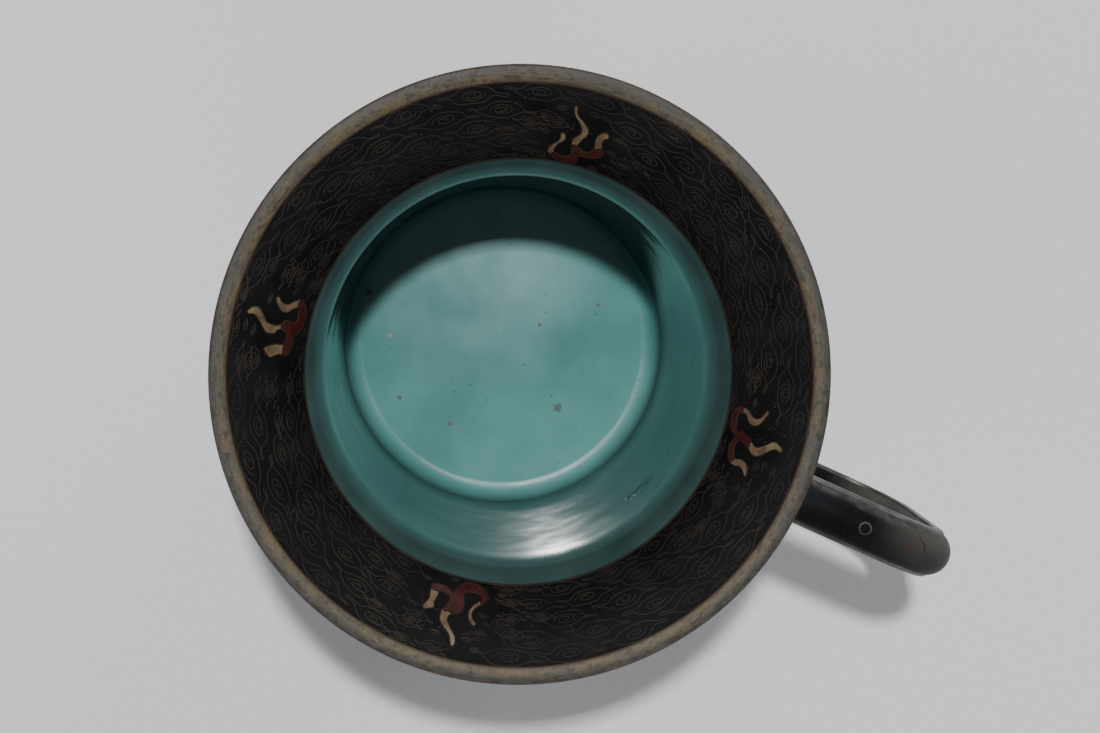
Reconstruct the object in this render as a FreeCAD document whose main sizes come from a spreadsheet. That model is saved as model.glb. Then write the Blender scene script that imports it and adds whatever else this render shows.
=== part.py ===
# Cloisonne cup with one strap handle.
#
# The cup stands on its foot ring. The origin is the foot's centre, +Z runs up the cup's axis
# and +X points along the handle. All sizes are in millimetres.
#
# A copper wall and floor disc carry glass enamel on both faces. The mouth flares out into a broad
# black lip with four flame motifs, each a group of wire cells filled with red and cream enamel.
# A turquoise lining fills the bowl below the throat wire. The handle is a copper strap with a
# domed black enamel face on each side and a bare metal wire along each edge.
import FreeCAD
import Part
import math
import os
import Sketcher

Vector = FreeCAD.Vector

# Driving dimensions, in millimetres unless the name says angle or count.
SIZES = {
    "cup_height": 64,
    "mouth_radius": 42,
    "lip_ring_width": 2.5,
    "lip_ring_depth": 3,
    "lip_ring_crown": 0.4,
    "lip_ring_bevel": 0.7,
    "flare_radius": 14.4,
    "lip_reach": 15.1,
    "wall_lean_angle": 3.5,
    "throat_angle": 33.8,
    "throat_wire_width": 0.4,
    "copper_thickness": 1,
    "enamel_thickness": 0.8,
    "floor_height": 7,
    "floor_round": 3,
    "belly_round": 2,
    "foot_inset": 3.9,
    "foot_ring_width": 2.2,
    "foot_ring_bevel": 0.4,
    "flame_start_angle": 8.5,
    "flame_span": 9,
    "flame_rise": 8,
    "flame_gap": 0.35,
    "handle_reach": 67.7,
    "handle_top_drop": 8,
    "handle_low_height": 16,
    "handle_bend_radius": 9,
    "handle_root_inset": 1.4,
    "handle_strip_width": 6.2,
    "handle_strip_thickness": 1.2,
    "handle_edge_wire_width": 0.5,
    "handle_edge_wire_depth": 1.8,
    "handle_face_rise": 2.4,
    "handle_back_rise": 1.2,
    "handle_ring_radius": 0.92,
    "handle_ring_wire_width": 0.2,
    "handle_ring_setback": 15.3,
    "cut_overrun": 2,
}

# How many straight courses stand in for each turned curve.
LIP_COURSE_COUNT = 6
THROAT_COURSE_COUNT = 4
OUTSIDE_COURSE_COUNT = 8
CORNER_COURSE_COUNT = 3
HIDDEN_LIP_COURSE_COUNT = 2

# Sketcher's numbers for the start, end and centre of a line or an arc.
START_INDEX = 1
END_INDEX = 2
CENTRE_INDEX = 3


def new_sheet(doc):
    """Spreadsheet that holds every driving dimension under its own name."""
    sheet = doc.addObject("Spreadsheet::Sheet", "sizes")
    for row, (name, value) in enumerate(SIZES.items(), start=1):
        sheet.set(f"A{row}", name)
        sheet.set(f"B{row}", str(value))
        sheet.setAlias(f"B{row}", name)
    doc.recompute()
    return sheet


DOC = FreeCAD.newDocument("cloisonne_cup")
SHEET = new_sheet(DOC)


def value(expression):
    """Number that an expression in the sheet's names stands for."""
    result = SHEET.evalExpression(str(expression))
    return float(getattr(result, "Value", result))


# Depths below the visible inside face, down through the enamel, the copper and the outer enamel.
FACE = "0"
COPPER_IN = "sizes.enamel_thickness"
COPPER_OUT = "(sizes.enamel_thickness + sizes.copper_thickness)"
OUTSIDE = "(2 * sizes.enamel_thickness + sizes.copper_thickness)"

# The flare is an arc whose centre lies outside the cup, tangent to the leaning wall.
WALL_TOP = "(sizes.mouth_radius - sizes.lip_reach)"
LEAN = "sizes.wall_lean_angle"
FLARE_X = f"({WALL_TOP} + sizes.flare_radius * cos({LEAN}))"
LIP_COSINE = f"(({FLARE_X} - sizes.mouth_radius + sizes.lip_ring_width) / sizes.flare_radius)"
LIP_ANGLE = f"(acos({LIP_COSINE}) / 1 deg)"
FLARE_Z = (
    f"(sizes.cup_height - sizes.lip_ring_crown - sizes.flare_radius * sqrt(1 - {LIP_COSINE} ^ 2))"
)
WALL_TOP_Z = f"({FLARE_Z} + sizes.flare_radius * sin({LEAN}))"

# The throat wire stands between two radii of the flare.
WIRE_HALF_ANGLE = "(sizes.throat_wire_width / sizes.flare_radius * 90 / pi)"
THROAT_LOW = f"(sizes.throat_angle - {WIRE_HALF_ANGLE})"
THROAT_HIGH = f"(sizes.throat_angle + {WIRE_HALF_ANGLE})"

# Levels of the floor's layers, and the radius of the foot under them.
FLOOR_TOP = "sizes.floor_height"
DISC_TOP = "(sizes.floor_height - sizes.enamel_thickness)"
DISC_BOTTOM = "(sizes.floor_height - sizes.enamel_thickness - sizes.copper_thickness)"
UNDERSIDE = "(sizes.floor_height - 2 * sizes.enamel_thickness - sizes.copper_thickness)"
FOOT = f"({WALL_TOP} - sizes.foot_inset)"


def on_flare(depth, angle):
    """Outline point on the flare, at a depth below its inside face and an angle up from level."""
    across = f"{FLARE_X} - (sizes.flare_radius - {depth}) * cos({angle})"
    up = f"{FLARE_Z} + (sizes.flare_radius - {depth}) * sin({angle})"
    return across, up


def on_wall(depth, height):
    """Outline point on the straight leaning wall, at a depth below its inside face."""
    across = (
        f"{WALL_TOP} + {depth} / cos({LEAN}) - ({WALL_TOP_Z} - {height}) * tan({LEAN})"
    )
    return across, height


def flare_courses(depth, start, end, count):
    """Outline points along the flare from one angle to another, both ends included."""
    points = []
    for step in range(count + 1):
        angle = f"({start} + ({end} - {start}) * {step} / {count})"
        points.append(on_flare(depth, angle))
    return points


def rounded_corner(depth, level, radius, count):
    """Outline points where the leaning wall turns into a level face, from the wall to the face."""
    corner = on_wall(depth, level)[0]
    inset = f"{radius} * tan((90 - {LEAN}) / 2)"
    points = []
    for step in range(count + 1):
        turn = f"({LEAN} + (90 - {LEAN}) * {step} / {count})"
        across = f"{corner} - {inset} + {radius} * cos({turn})"
        up = f"{level} + {radius} - {radius} * sin({turn})"
        points.append((across, up))
    return points


def origin_plane(body, role):
    """One of the body's own origin planes."""
    return [feature for feature in body.Origin.OriginFeatures if feature.Role == role][0]


def new_sketch(body, name, role):
    """Sketch on one of the body's origin planes."""
    sketch = body.newObject("Sketcher::SketchObject", name)
    sketch.AttachmentSupport = [(origin_plane(body, role), "")]
    sketch.MapMode = "FlatFace"
    return sketch


def hold(sketch, kind, geometry, corner, expression):
    """Dimension from the sketch's origin to one point, tied to an expression."""
    index = sketch.addConstraint(
        Sketcher.Constraint(kind, -1, START_INDEX, geometry, corner, value(expression))
    )
    sketch.setExpression(f"Constraints[{index}]", expression)


def closed_outline(sketch, points):
    """Closed run of straight lines through outline points, each held across and up."""
    places = [Vector(value(across), value(up), 0) for across, up in points]
    lines = []
    for index, place in enumerate(places):
        following = places[(index + 1) % len(places)]
        lines.append(Part.LineSegment(place, following))
    sketch.addGeometry(lines, False)
    for index, (across, up) in enumerate(points):
        following = (index + 1) % len(points)
        sketch.addConstraint(
            Sketcher.Constraint("Coincident", index, END_INDEX, following, START_INDEX)
        )
        hold(sketch, "DistanceX", index, START_INDEX, across)
        hold(sketch, "DistanceY", index, START_INDEX, up)


def turned_body(label, points):
    """Body turned once round the cup's axis from a closed outline."""
    body = DOC.addObject("PartDesign::Body", label)
    sketch = new_sketch(body, f"{label}_outline", "XZ_Plane")
    closed_outline(sketch, points)
    turn = body.newObject("PartDesign::Revolution", f"{label}_turn")
    turn.Profile = (sketch, [""])
    turn.ReferenceAxis = (sketch, ["V_Axis"])
    turn.Angle = 360
    body.Tip = turn
    return body


def reversed_points(points):
    """The same outline points from last to first."""
    return list(reversed(points))


# Copper shell


def make_cup_wall(label="cup_wall"):
    """Spun copper wall, drawn out at the top into the flare."""
    inside = [on_wall(COPPER_IN, DISC_BOTTOM), on_flare(COPPER_IN, LEAN)]
    inside.append(on_flare(COPPER_IN, THROAT_LOW))
    inside += flare_courses(COPPER_IN, THROAT_HIGH, LIP_ANGLE, HIDDEN_LIP_COURSE_COUNT)
    outside = [on_wall(COPPER_OUT, DISC_BOTTOM), on_flare(COPPER_OUT, LEAN)]
    outside += flare_courses(COPPER_OUT, THROAT_HIGH, LIP_ANGLE, HIDDEN_LIP_COURSE_COUNT)
    return turned_body(label, inside + reversed_points(outside))


def make_floor_disc(label="floor_disc"):
    """Copper disc let into the bottom of the wall."""
    return turned_body(
        label,
        [
            ("0", DISC_BOTTOM),
            on_wall(COPPER_IN, DISC_BOTTOM),
            on_wall(COPPER_IN, DISC_TOP),
            ("0", DISC_TOP),
        ],
    )


def make_foot_ring(label="foot_ring"):
    """Brass ring that the cup stands on, its two lower edges bevelled."""
    inner = f"{FOOT} - sizes.foot_ring_width"
    bevel = "sizes.foot_ring_bevel"
    return turned_body(
        label,
        [
            (inner, DISC_BOTTOM),
            (inner, bevel),
            (f"{inner} + {bevel}", "0"),
            (f"{FOOT} - {bevel}", "0"),
            (FOOT, bevel),
            (FOOT, DISC_BOTTOM),
        ],
    )


def make_lip_ring(label="lip_ring"):
    """Bare metal ring round the mouth, seated on the end of the flared wall."""
    crown = "sizes.lip_ring_crown"
    bevel = "sizes.lip_ring_bevel"
    low = "sizes.cup_height - sizes.lip_ring_depth"
    return turned_body(
        label,
        [
            on_flare(FACE, LIP_ANGLE),
            (f"sizes.mouth_radius - sizes.lip_ring_width + 2 * {crown}", "sizes.cup_height"),
            (f"sizes.mouth_radius - {bevel}", "sizes.cup_height"),
            ("sizes.mouth_radius", f"sizes.cup_height - {bevel}"),
            ("sizes.mouth_radius", f"{low} + {bevel}"),
            (f"sizes.mouth_radius - {bevel}", low),
            on_flare(OUTSIDE, LIP_ANGLE),
        ],
    )


# Enamel


def lip_field_points():
    """Section of the enamel band between the throat wire and the lip ring."""
    hidden = flare_courses(COPPER_IN, THROAT_HIGH, LIP_ANGLE, HIDDEN_LIP_COURSE_COUNT)
    shown = flare_courses(FACE, THROAT_HIGH, LIP_ANGLE, LIP_COURSE_COUNT)
    return hidden + reversed_points(shown)


def make_lining_enamel(label="lining_enamel"):
    """Turquoise glaze over the floor, the corner and the wall up to the throat wire."""
    hidden = [("0", DISC_TOP), on_wall(COPPER_IN, DISC_TOP), on_flare(COPPER_IN, LEAN)]
    hidden.append(on_flare(COPPER_IN, THROAT_LOW))
    shown = reversed_points(flare_courses(FACE, LEAN, THROAT_LOW, THROAT_COURSE_COUNT))
    shown += rounded_corner(FACE, FLOOR_TOP, "sizes.floor_round", CORNER_COURSE_COUNT)
    shown.append(("0", FLOOR_TOP))
    return turned_body(label, hidden + shown)


def make_base_enamel(label="base_enamel"):
    """Turquoise glaze under the floor, inside the foot ring."""
    edge = f"{FOOT} - sizes.foot_ring_width"
    return turned_body(
        label, [("0", UNDERSIDE), (edge, UNDERSIDE), (edge, DISC_BOTTOM), ("0", DISC_BOTTOM)]
    )


def make_throat_wire(label="throat_wire"):
    """Wire on edge between the black lip and the turquoise lining."""
    return turned_body(
        label,
        [
            on_flare(COPPER_IN, THROAT_LOW),
            on_flare(COPPER_IN, THROAT_HIGH),
            on_flare(FACE, THROAT_HIGH),
            on_flare(FACE, THROAT_LOW),
        ],
    )


def outside_points():
    """Visible outside of the wall, from the lip ring down to the underside."""
    points = reversed_points(flare_courses(OUTSIDE, LEAN, LIP_ANGLE, OUTSIDE_COURSE_COUNT))
    points += rounded_corner(OUTSIDE, UNDERSIDE, "sizes.belly_round", CORNER_COURSE_COUNT)
    return points


def make_outside_field(label="outside_field"):
    """Black enamel over the whole outside, before the handle's strip is let through it."""
    hidden = [(FOOT, UNDERSIDE), (FOOT, DISC_BOTTOM)]
    hidden += [on_wall(COPPER_OUT, DISC_BOTTOM), on_flare(COPPER_OUT, LEAN)]
    hidden += flare_courses(COPPER_OUT, THROAT_HIGH, LIP_ANGLE, HIDDEN_LIP_COURSE_COUNT)
    return turned_body(label, hidden + outside_points())


# Flames on the lip

# Outlines of the four flame motifs in the order in which they follow the handle round the lip,
# each bent by hand and so a little unlike the others. Across runs in shares of the flame's span,
# clockwise as seen from above, and out runs in shares of its rise from the throat.
FLAME_TURN_SHARES = [0, 0.255, 0.5147, 0.7517]
RED_BODY_SHARES = [
    [
        (-0.39, 0.15), (-0.34, 0.09), (-0.25, 0.09), (-0.15, 0.1), (-0.07, 0.13), (-0.08, 0.2),
        (-0.05, 0.29), (0.0, 0.37), (0.07, 0.37), (0.14, 0.36), (0.1, 0.29), (0.07, 0.23),
        (0.09, 0.19), (0.16, 0.16), (0.26, 0.17), (0.34, 0.19), (0.42, 0.22), (0.44, 0.17),
        (0.34, 0.11), (0.22, 0.09), (0.11, 0.11), (0.04, 0.13), (0.0, 0.1), (-0.06, 0.05),
        (-0.16, 0.02), (-0.28, 0.01), (-0.4, 0.04), (-0.47, 0.08), (-0.47, 0.14),
    ],
    [
        (-0.1, 0.27), (-0.08, 0.18), (-0.08, 0.1), (-0.15, 0.06), (-0.24, 0.05), (-0.33, 0.09),
        (-0.39, 0.08), (-0.36, 0.01), (-0.26, -0.02), (-0.15, -0.02), (-0.03, -0.02), (0.06, 0.0),
        (0.06, 0.06), (0.06, 0.11), (0.12, 0.13), (0.2, 0.13), (0.3, 0.15), (0.38, 0.19),
        (0.42, 0.26), (0.37, 0.34), (0.31, 0.32), (0.26, 0.3), (0.22, 0.24), (0.15, 0.21),
        (0.08, 0.22), (0.01, 0.26), (-0.04, 0.28),
    ],
    [
        (0.56, 0.18), (0.51, 0.12), (0.44, 0.08), (0.32, 0.05), (0.2, 0.05), (0.1, 0.06),
        (0.02, 0.11), (-0.04, 0.16), (-0.11, 0.17), (-0.2, 0.18), (-0.28, 0.21), (-0.35, 0.24),
        (-0.34, 0.31), (-0.29, 0.32), (-0.22, 0.32), (-0.15, 0.29), (-0.08, 0.28), (-0.02, 0.29),
        (0.03, 0.33), (0.05, 0.39), (0.11, 0.4), (0.14, 0.38), (0.18, 0.35), (0.19, 0.28),
        (0.17, 0.21), (0.22, 0.16), (0.31, 0.16), (0.4, 0.19), (0.49, 0.22),
    ],
    [
        (0.5, 0.19), (0.44, 0.14), (0.34, 0.13), (0.26, 0.13), (0.18, 0.16), (0.12, 0.18),
        (0.08, 0.11), (0.03, 0.05), (-0.06, 0.0), (-0.17, -0.01), (-0.28, 0.0), (-0.39, 0.04),
        (-0.45, 0.1), (-0.46, 0.17), (-0.43, 0.23), (-0.39, 0.27), (-0.35, 0.25), (-0.36, 0.18),
        (-0.32, 0.13), (-0.23, 0.11), (-0.14, 0.11), (-0.08, 0.15), (-0.07, 0.21), (-0.09, 0.28),
        (-0.1, 0.36), (-0.07, 0.44), (-0.01, 0.48), (0.06, 0.5), (0.12, 0.48), (0.2, 0.48),
        (0.17, 0.38), (0.15, 0.3), (0.17, 0.25), (0.23, 0.22), (0.31, 0.22), (0.36, 0.23),
        (0.43, 0.24), (0.47, 0.23),
    ],
]
TONGUE_SHARES = [
    [
        [
            (-0.46, 0.12), (-0.47, 0.18), (-0.43, 0.25), (-0.37, 0.3), (-0.34, 0.36),
            (-0.36, 0.43), (-0.42, 0.48), (-0.49, 0.53), (-0.47, 0.55), (-0.38, 0.51),
            (-0.3, 0.47), (-0.24, 0.41), (-0.22, 0.34), (-0.26, 0.27), (-0.34, 0.23),
            (-0.38, 0.19), (-0.39, 0.14),
        ],
        [
            (0.04, 0.35), (0.04, 0.4), (0.08, 0.45), (0.08, 0.5), (0.04, 0.57), (-0.01, 0.64),
            (-0.06, 0.7), (-0.07, 0.76), (-0.04, 0.83), (0.0, 0.89), (0.04, 0.88), (0.03, 0.78),
            (0.07, 0.71), (0.12, 0.65), (0.18, 0.59), (0.22, 0.5), (0.2, 0.43), (0.15, 0.38),
            (0.11, 0.34),
        ],
        [
            (0.41, 0.18), (0.37, 0.26), (0.35, 0.32), (0.37, 0.4), (0.42, 0.45), (0.49, 0.48),
            (0.56, 0.48), (0.53, 0.44), (0.49, 0.4), (0.46, 0.35), (0.47, 0.3), (0.48, 0.24),
            (0.46, 0.19),
        ],
    ],
    [
        [
            (-0.32, 0.05), (-0.4, 0.06), (-0.46, 0.1), (-0.44, 0.18), (-0.38, 0.24), (-0.32, 0.3),
            (-0.3, 0.36), (-0.3, 0.42), (-0.27, 0.44), (-0.23, 0.4), (-0.22, 0.34), (-0.26, 0.29),
            (-0.32, 0.24), (-0.35, 0.18), (-0.36, 0.12),
        ],
        [
            (-0.1, 0.27), (-0.11, 0.35), (-0.07, 0.42), (-0.02, 0.47), (-0.01, 0.54), (-0.04, 0.6),
            (-0.08, 0.67), (-0.14, 0.73), (-0.18, 0.81), (-0.19, 0.88), (-0.18, 0.92),
            (-0.15, 0.89), (-0.14, 0.82), (-0.09, 0.74), (-0.03, 0.69), (0.04, 0.63), (0.09, 0.55),
            (0.08, 0.47), (0.04, 0.4), (0.0, 0.32), (-0.03, 0.26), (-0.08, 0.24),
        ],
        [
            (0.28, 0.29), (0.24, 0.39), (0.23, 0.48), (0.26, 0.56), (0.31, 0.6), (0.36, 0.61),
            (0.4, 0.56), (0.39, 0.53), (0.35, 0.5), (0.34, 0.43), (0.36, 0.37), (0.37, 0.32),
        ],
    ],
    [
        [
            (0.56, 0.19), (0.53, 0.27), (0.48, 0.33), (0.44, 0.4), (0.45, 0.47), (0.48, 0.52),
            (0.52, 0.56), (0.5, 0.59), (0.45, 0.58), (0.39, 0.53), (0.34, 0.48), (0.31, 0.41),
            (0.33, 0.34), (0.38, 0.29), (0.42, 0.23), (0.46, 0.18),
        ],
        [
            (0.11, 0.36), (0.11, 0.42), (0.09, 0.49), (0.1, 0.57), (0.12, 0.65), (0.18, 0.7),
            (0.24, 0.75), (0.3, 0.83), (0.3, 0.91), (0.26, 0.97), (0.21, 1.0), (0.19, 0.97),
            (0.2, 0.91), (0.18, 0.85), (0.14, 0.8), (0.1, 0.75), (0.04, 0.7), (-0.02, 0.64),
            (-0.04, 0.56), (-0.02, 0.49), (0.03, 0.45), (0.05, 0.39), (0.07, 0.35),
        ],
        [
            (-0.21, 0.3), (-0.19, 0.4), (-0.2, 0.48), (-0.22, 0.56), (-0.26, 0.62), (-0.31, 0.61),
            (-0.36, 0.56), (-0.39, 0.52), (-0.37, 0.46), (-0.34, 0.38), (-0.34, 0.28),
        ],
    ],
    [
        [
            (0.48, 0.22), (0.48, 0.3), (0.47, 0.38), (0.5, 0.46), (0.52, 0.53), (0.49, 0.56),
            (0.42, 0.53), (0.36, 0.49), (0.37, 0.41), (0.36, 0.34), (0.35, 0.26), (0.4, 0.21),
        ],
        [
            (0.22, 0.47), (0.23, 0.57), (0.21, 0.65), (0.14, 0.73), (0.07, 0.79), (0.02, 0.86),
            (-0.01, 0.95), (-0.04, 1.0), (-0.07, 0.97), (-0.07, 0.89), (-0.04, 0.81), (0.02, 0.74),
            (0.07, 0.67), (0.11, 0.6), (0.1, 0.54), (0.06, 0.5), (0.1, 0.45), (0.16, 0.43),
        ],
        [
            (-0.38, 0.21), (-0.31, 0.24), (-0.25, 0.29), (-0.2, 0.36), (-0.18, 0.45), (-0.2, 0.52),
            (-0.24, 0.58), (-0.29, 0.61), (-0.32, 0.58), (-0.3, 0.55), (-0.26, 0.5), (-0.24, 0.43),
            (-0.26, 0.37), (-0.31, 0.31), (-0.37, 0.27), (-0.41, 0.24),
        ],
    ],
]


def flame_place(across_share, rise_share, start_angle):
    """Place in plan of one outline point of the motif that starts at an angle round the lip."""
    throat = value(on_flare(FACE, THROAT_HIGH)[0]) + value("sizes.flame_gap")
    middle = throat + value("sizes.flame_rise") / 2
    angle = math.radians(start_angle) - across_share * value("sizes.flame_span") / middle
    reach = throat + rise_share * value("sizes.flame_rise")
    return Vector(reach * math.cos(angle), reach * math.sin(angle), 0)


def flame_face(shares, start_angle):
    """Flat face inside one outline of the motif."""
    corners = [flame_place(across, out, start_angle) for across, out in shares]
    return Part.Face(Part.makePolygon(corners + corners[:1]))


def upright_prism(face):
    """Solid that stands on a flat outline and passes right through the lip."""
    low = value(on_flare(OUTSIDE, THROAT_LOW)[1]) - value("sizes.cut_overrun")
    high = value("sizes.cup_height + sizes.cut_overrun")
    raised = face.copy()
    raised.translate(Vector(0, 0, low))
    return raised.extrude(Vector(0, 0, high - low))


def flame_start_angles():
    """Angle round the lip of each motif's middle, the handle being at nought."""
    first = value("sizes.flame_start_angle")
    return [first + 360 * share for share in FLAME_TURN_SHARES]


def stored_shape(label, shape):
    """Object that holds a shape worked out above."""
    feature = DOC.addObject("Part::Feature", label)
    feature.Shape = shape
    return feature


def make_flame_prisms(label, motifs):
    """Upright prisms of every motif's outlines, one list of outlines to each motif."""
    prisms = []
    for angle, outlines in zip(flame_start_angles(), motifs):
        prisms += [upright_prism(flame_face(shares, angle)) for shares in outlines]
    return stored_shape(label, Part.makeCompound(prisms))


def boolean(kind, label, base, tool):
    """Part boolean of two objects of the document."""
    result = DOC.addObject(f"Part::{kind}", label)
    result.Base = base
    result.Tool = tool
    return result


# Handle

HANDLE_ROOT = f"({WALL_TOP} - sizes.handle_root_inset)"
HANDLE_TOP = "(sizes.cup_height - sizes.handle_top_drop)"
STRIP_HALF = "sizes.handle_strip_width / 2"
EDGE_HALF = "(sizes.handle_strip_width / 2 + sizes.handle_edge_wire_width)"
STRIP_FACE = "sizes.handle_strip_thickness / 2"
EDGE_FACE = "sizes.handle_edge_wire_depth / 2"
HANDLE_CROWN = "(sizes.handle_strip_thickness / 2 + sizes.handle_face_rise)"
HANDLE_BACK = "(sizes.handle_strip_thickness / 2 + sizes.handle_back_rise)"
HANDLE_X = f"(sizes.handle_reach - {HANDLE_CROWN})"


def handle_path(body, name):
    """Middle line of the strap: out from the wall, down and back, with two round bends."""
    sketch = new_sketch(body, name, "XZ_Plane")
    bend = "sizes.handle_bend_radius"
    low = "sizes.handle_low_height"
    centre_x = f"{HANDLE_X} - {bend}"
    upper_z = f"{HANDLE_TOP} - {bend}"
    lower_z = f"{low} + {bend}"
    stops = [(HANDLE_ROOT, HANDLE_TOP), (centre_x, HANDLE_TOP), (HANDLE_X, upper_z)]
    stops += [(HANDLE_X, lower_z), (centre_x, low), (HANDLE_ROOT, low)]
    places = [Vector(value(across), value(up), 0) for across, up in stops]
    radius = value(bend)
    upper = Part.Circle(Vector(value(centre_x), value(upper_z), 0), Vector(0, 0, 1), radius)
    lower = Part.Circle(Vector(value(centre_x), value(lower_z), 0), Vector(0, 0, 1), radius)
    quarter = math.pi / 2
    sketch.addGeometry(
        [
            Part.LineSegment(places[0], places[1]),
            Part.ArcOfCircle(upper, 0, quarter),
            Part.LineSegment(places[2], places[3]),
            Part.ArcOfCircle(lower, -quarter, 0),
            Part.LineSegment(places[4], places[5]),
        ],
        False,
    )
    for first, first_end, second, second_end in (
        (0, END_INDEX, 1, END_INDEX),
        (1, START_INDEX, 2, START_INDEX),
        (2, END_INDEX, 3, END_INDEX),
        (3, START_INDEX, 4, START_INDEX),
    ):
        sketch.addConstraint(
            Sketcher.Constraint("Coincident", first, first_end, second, second_end)
        )
    for line, end, place in (
        (0, START_INDEX, 0),
        (0, END_INDEX, 1),
        (2, END_INDEX, 3),
        (4, END_INDEX, 5),
    ):
        hold(sketch, "DistanceX", line, end, stops[place][0])
        hold(sketch, "DistanceY", line, end, stops[place][1])
    for arc, level in ((1, upper_z), (3, lower_z)):
        hold(sketch, "DistanceX", arc, CENTRE_INDEX, centre_x)
        hold(sketch, "DistanceY", arc, CENTRE_INDEX, level)
    hold(sketch, "DistanceY", 2, START_INDEX, stops[2][1])
    hold(sketch, "DistanceX", 4, START_INDEX, stops[4][0])
    return sketch


def section_sketch(body, name):
    """Sketch square to the strap's start, measured across and up from the cup's origin."""
    sketch = new_sketch(body, name, "YZ_Plane")
    sketch.setExpression(".AttachmentOffset.Base.z", HANDLE_ROOT)
    return sketch


def piped_body(label, draw_section):
    """Body swept along the strap's middle line."""
    body = DOC.addObject("PartDesign::Body", label)
    path = handle_path(body, f"{label}_path")
    section = section_sketch(body, f"{label}_section")
    draw_section(section)
    DOC.recompute()
    pipe = body.newObject("PartDesign::AdditivePipe", f"{label}_pipe")
    pipe.Profile = (section, [""])
    pipe.Spine = (path, [f"Edge{number}" for number in range(1, 6)])
    body.Tip = pipe
    return body


def flat_section(left, right, low, high):
    """Drawing of a plain oblong section, its levels measured from the strap's middle."""

    def draw(sketch):
        corners = [(left, low), (right, low), (right, high), (left, high)]
        closed_outline(sketch, [(across, f"{HANDLE_TOP} + {level}") for across, level in corners])

    return draw


def domed_section(sign, crown):
    """Drawing of an enamel face on the strip: flat against it and domed away from it."""
    rise = f"({crown} - {EDGE_FACE})"
    radius = f"(({STRIP_HALF}) ^ 2 + {rise} ^ 2) / (2 * {rise})"
    centre = f"{HANDLE_TOP} + {sign} * ({crown} - {radius})"
    shoulder = f"{HANDLE_TOP} + {sign} * {EDGE_FACE}"
    seat = f"{HANDLE_TOP} + {sign} * {STRIP_FACE}"

    def draw(sketch):
        left = -value(STRIP_HALF)
        right = value(STRIP_HALF)
        shoulder_z = value(shoulder)
        seat_z = value(seat)
        crown_z = value(f"{HANDLE_TOP} + {sign} * {crown}")
        dome = Part.Arc(Vector(right, shoulder_z, 0), Vector(0, crown_z, 0), Vector(left, shoulder_z, 0))
        sketch.addGeometry(
            [
                Part.LineSegment(Vector(left, seat_z, 0), Vector(right, seat_z, 0)),
                Part.LineSegment(Vector(right, seat_z, 0), Vector(right, shoulder_z, 0)),
                dome,
                Part.LineSegment(Vector(left, shoulder_z, 0), Vector(left, seat_z, 0)),
            ],
            False,
        )
        starts_right = sketch.getPoint(2, START_INDEX).x > 0
        right_end, left_end = (START_INDEX, END_INDEX) if starts_right else (END_INDEX, START_INDEX)
        sketch.addConstraint(Sketcher.Constraint("Coincident", 0, END_INDEX, 1, START_INDEX))
        sketch.addConstraint(Sketcher.Constraint("Coincident", 1, END_INDEX, 2, right_end))
        sketch.addConstraint(Sketcher.Constraint("Coincident", 2, left_end, 3, START_INDEX))
        sketch.addConstraint(Sketcher.Constraint("Coincident", 3, END_INDEX, 0, START_INDEX))
        hold(sketch, "DistanceX", 0, START_INDEX, f"-({STRIP_HALF})")
        hold(sketch, "DistanceY", 0, START_INDEX, seat)
        hold(sketch, "DistanceX", 0, END_INDEX, STRIP_HALF)
        hold(sketch, "DistanceY", 0, END_INDEX, seat)
        hold(sketch, "DistanceX", 1, END_INDEX, STRIP_HALF)
        hold(sketch, "DistanceY", 1, END_INDEX, shoulder)
        hold(sketch, "DistanceX", 2, CENTRE_INDEX, "0")
        hold(sketch, "DistanceY", 2, CENTRE_INDEX, centre)
        hold(sketch, "DistanceX", 3, START_INDEX, f"-({STRIP_HALF})")

    return draw


def filled_body(label, depth, flare_points):
    """The cup's bulk inside one of its layers, filled to the axis, used only to trim the handle."""
    points = [("0", UNDERSIDE), on_wall(depth, UNDERSIDE), on_flare(depth, LEAN)]
    points += flare_points
    points.append(("0", flare_points[-1][1]))
    return turned_body(label, points)


def make_handle():
    """Copper strap, its two enamel faces and its two edge wires, trimmed to the wall."""
    hidden = flare_courses(COPPER_OUT, THROAT_HIGH, LIP_ANGLE, HIDDEN_LIP_COURSE_COUNT)
    shown = flare_courses(OUTSIDE, LEAN, LIP_ANGLE, OUTSIDE_COURSE_COUNT)[1:]
    copper_bulk = filled_body("copper_bulk", COPPER_OUT, hidden)
    outside_bulk = filled_body("outside_bulk", OUTSIDE, shown)

    strip = piped_body(
        "handle_strip",
        flat_section(f"-({STRIP_HALF})", STRIP_HALF, f"-({STRIP_FACE})", STRIP_FACE),
    )
    strap = boolean("Cut", "handle_strap", strip, copper_bulk)
    parts = [strap]
    for label, left, right in (
        ("handle_left_edge_wire", STRIP_HALF, EDGE_HALF),
        ("handle_right_edge_wire", f"-{EDGE_HALF}", f"-({STRIP_HALF})"),
    ):
        bar = piped_body(f"{label}_bar", flat_section(left, right, f"-({EDGE_FACE})", EDGE_FACE))
        parts.append(boolean("Cut", label, bar, outside_bulk))
    back_bar = piped_body("handle_back_enamel_bar", domed_section("-1", HANDLE_BACK))
    parts.append(boolean("Cut", "handle_back_enamel", back_bar, outside_bulk))
    face_bar = piped_body("handle_face_enamel_bar", domed_section("1", HANDLE_CROWN))
    face_field = boolean("Cut", "handle_face_field", face_bar, outside_bulk)
    ring_blank = handle_ring_blank()
    parts.append(boolean("Cut", "handle_face_enamel", face_field, ring_blank))
    parts.append(boolean("Common", "handle_ring_wire", face_field, ring_blank))
    return strip, parts


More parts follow.
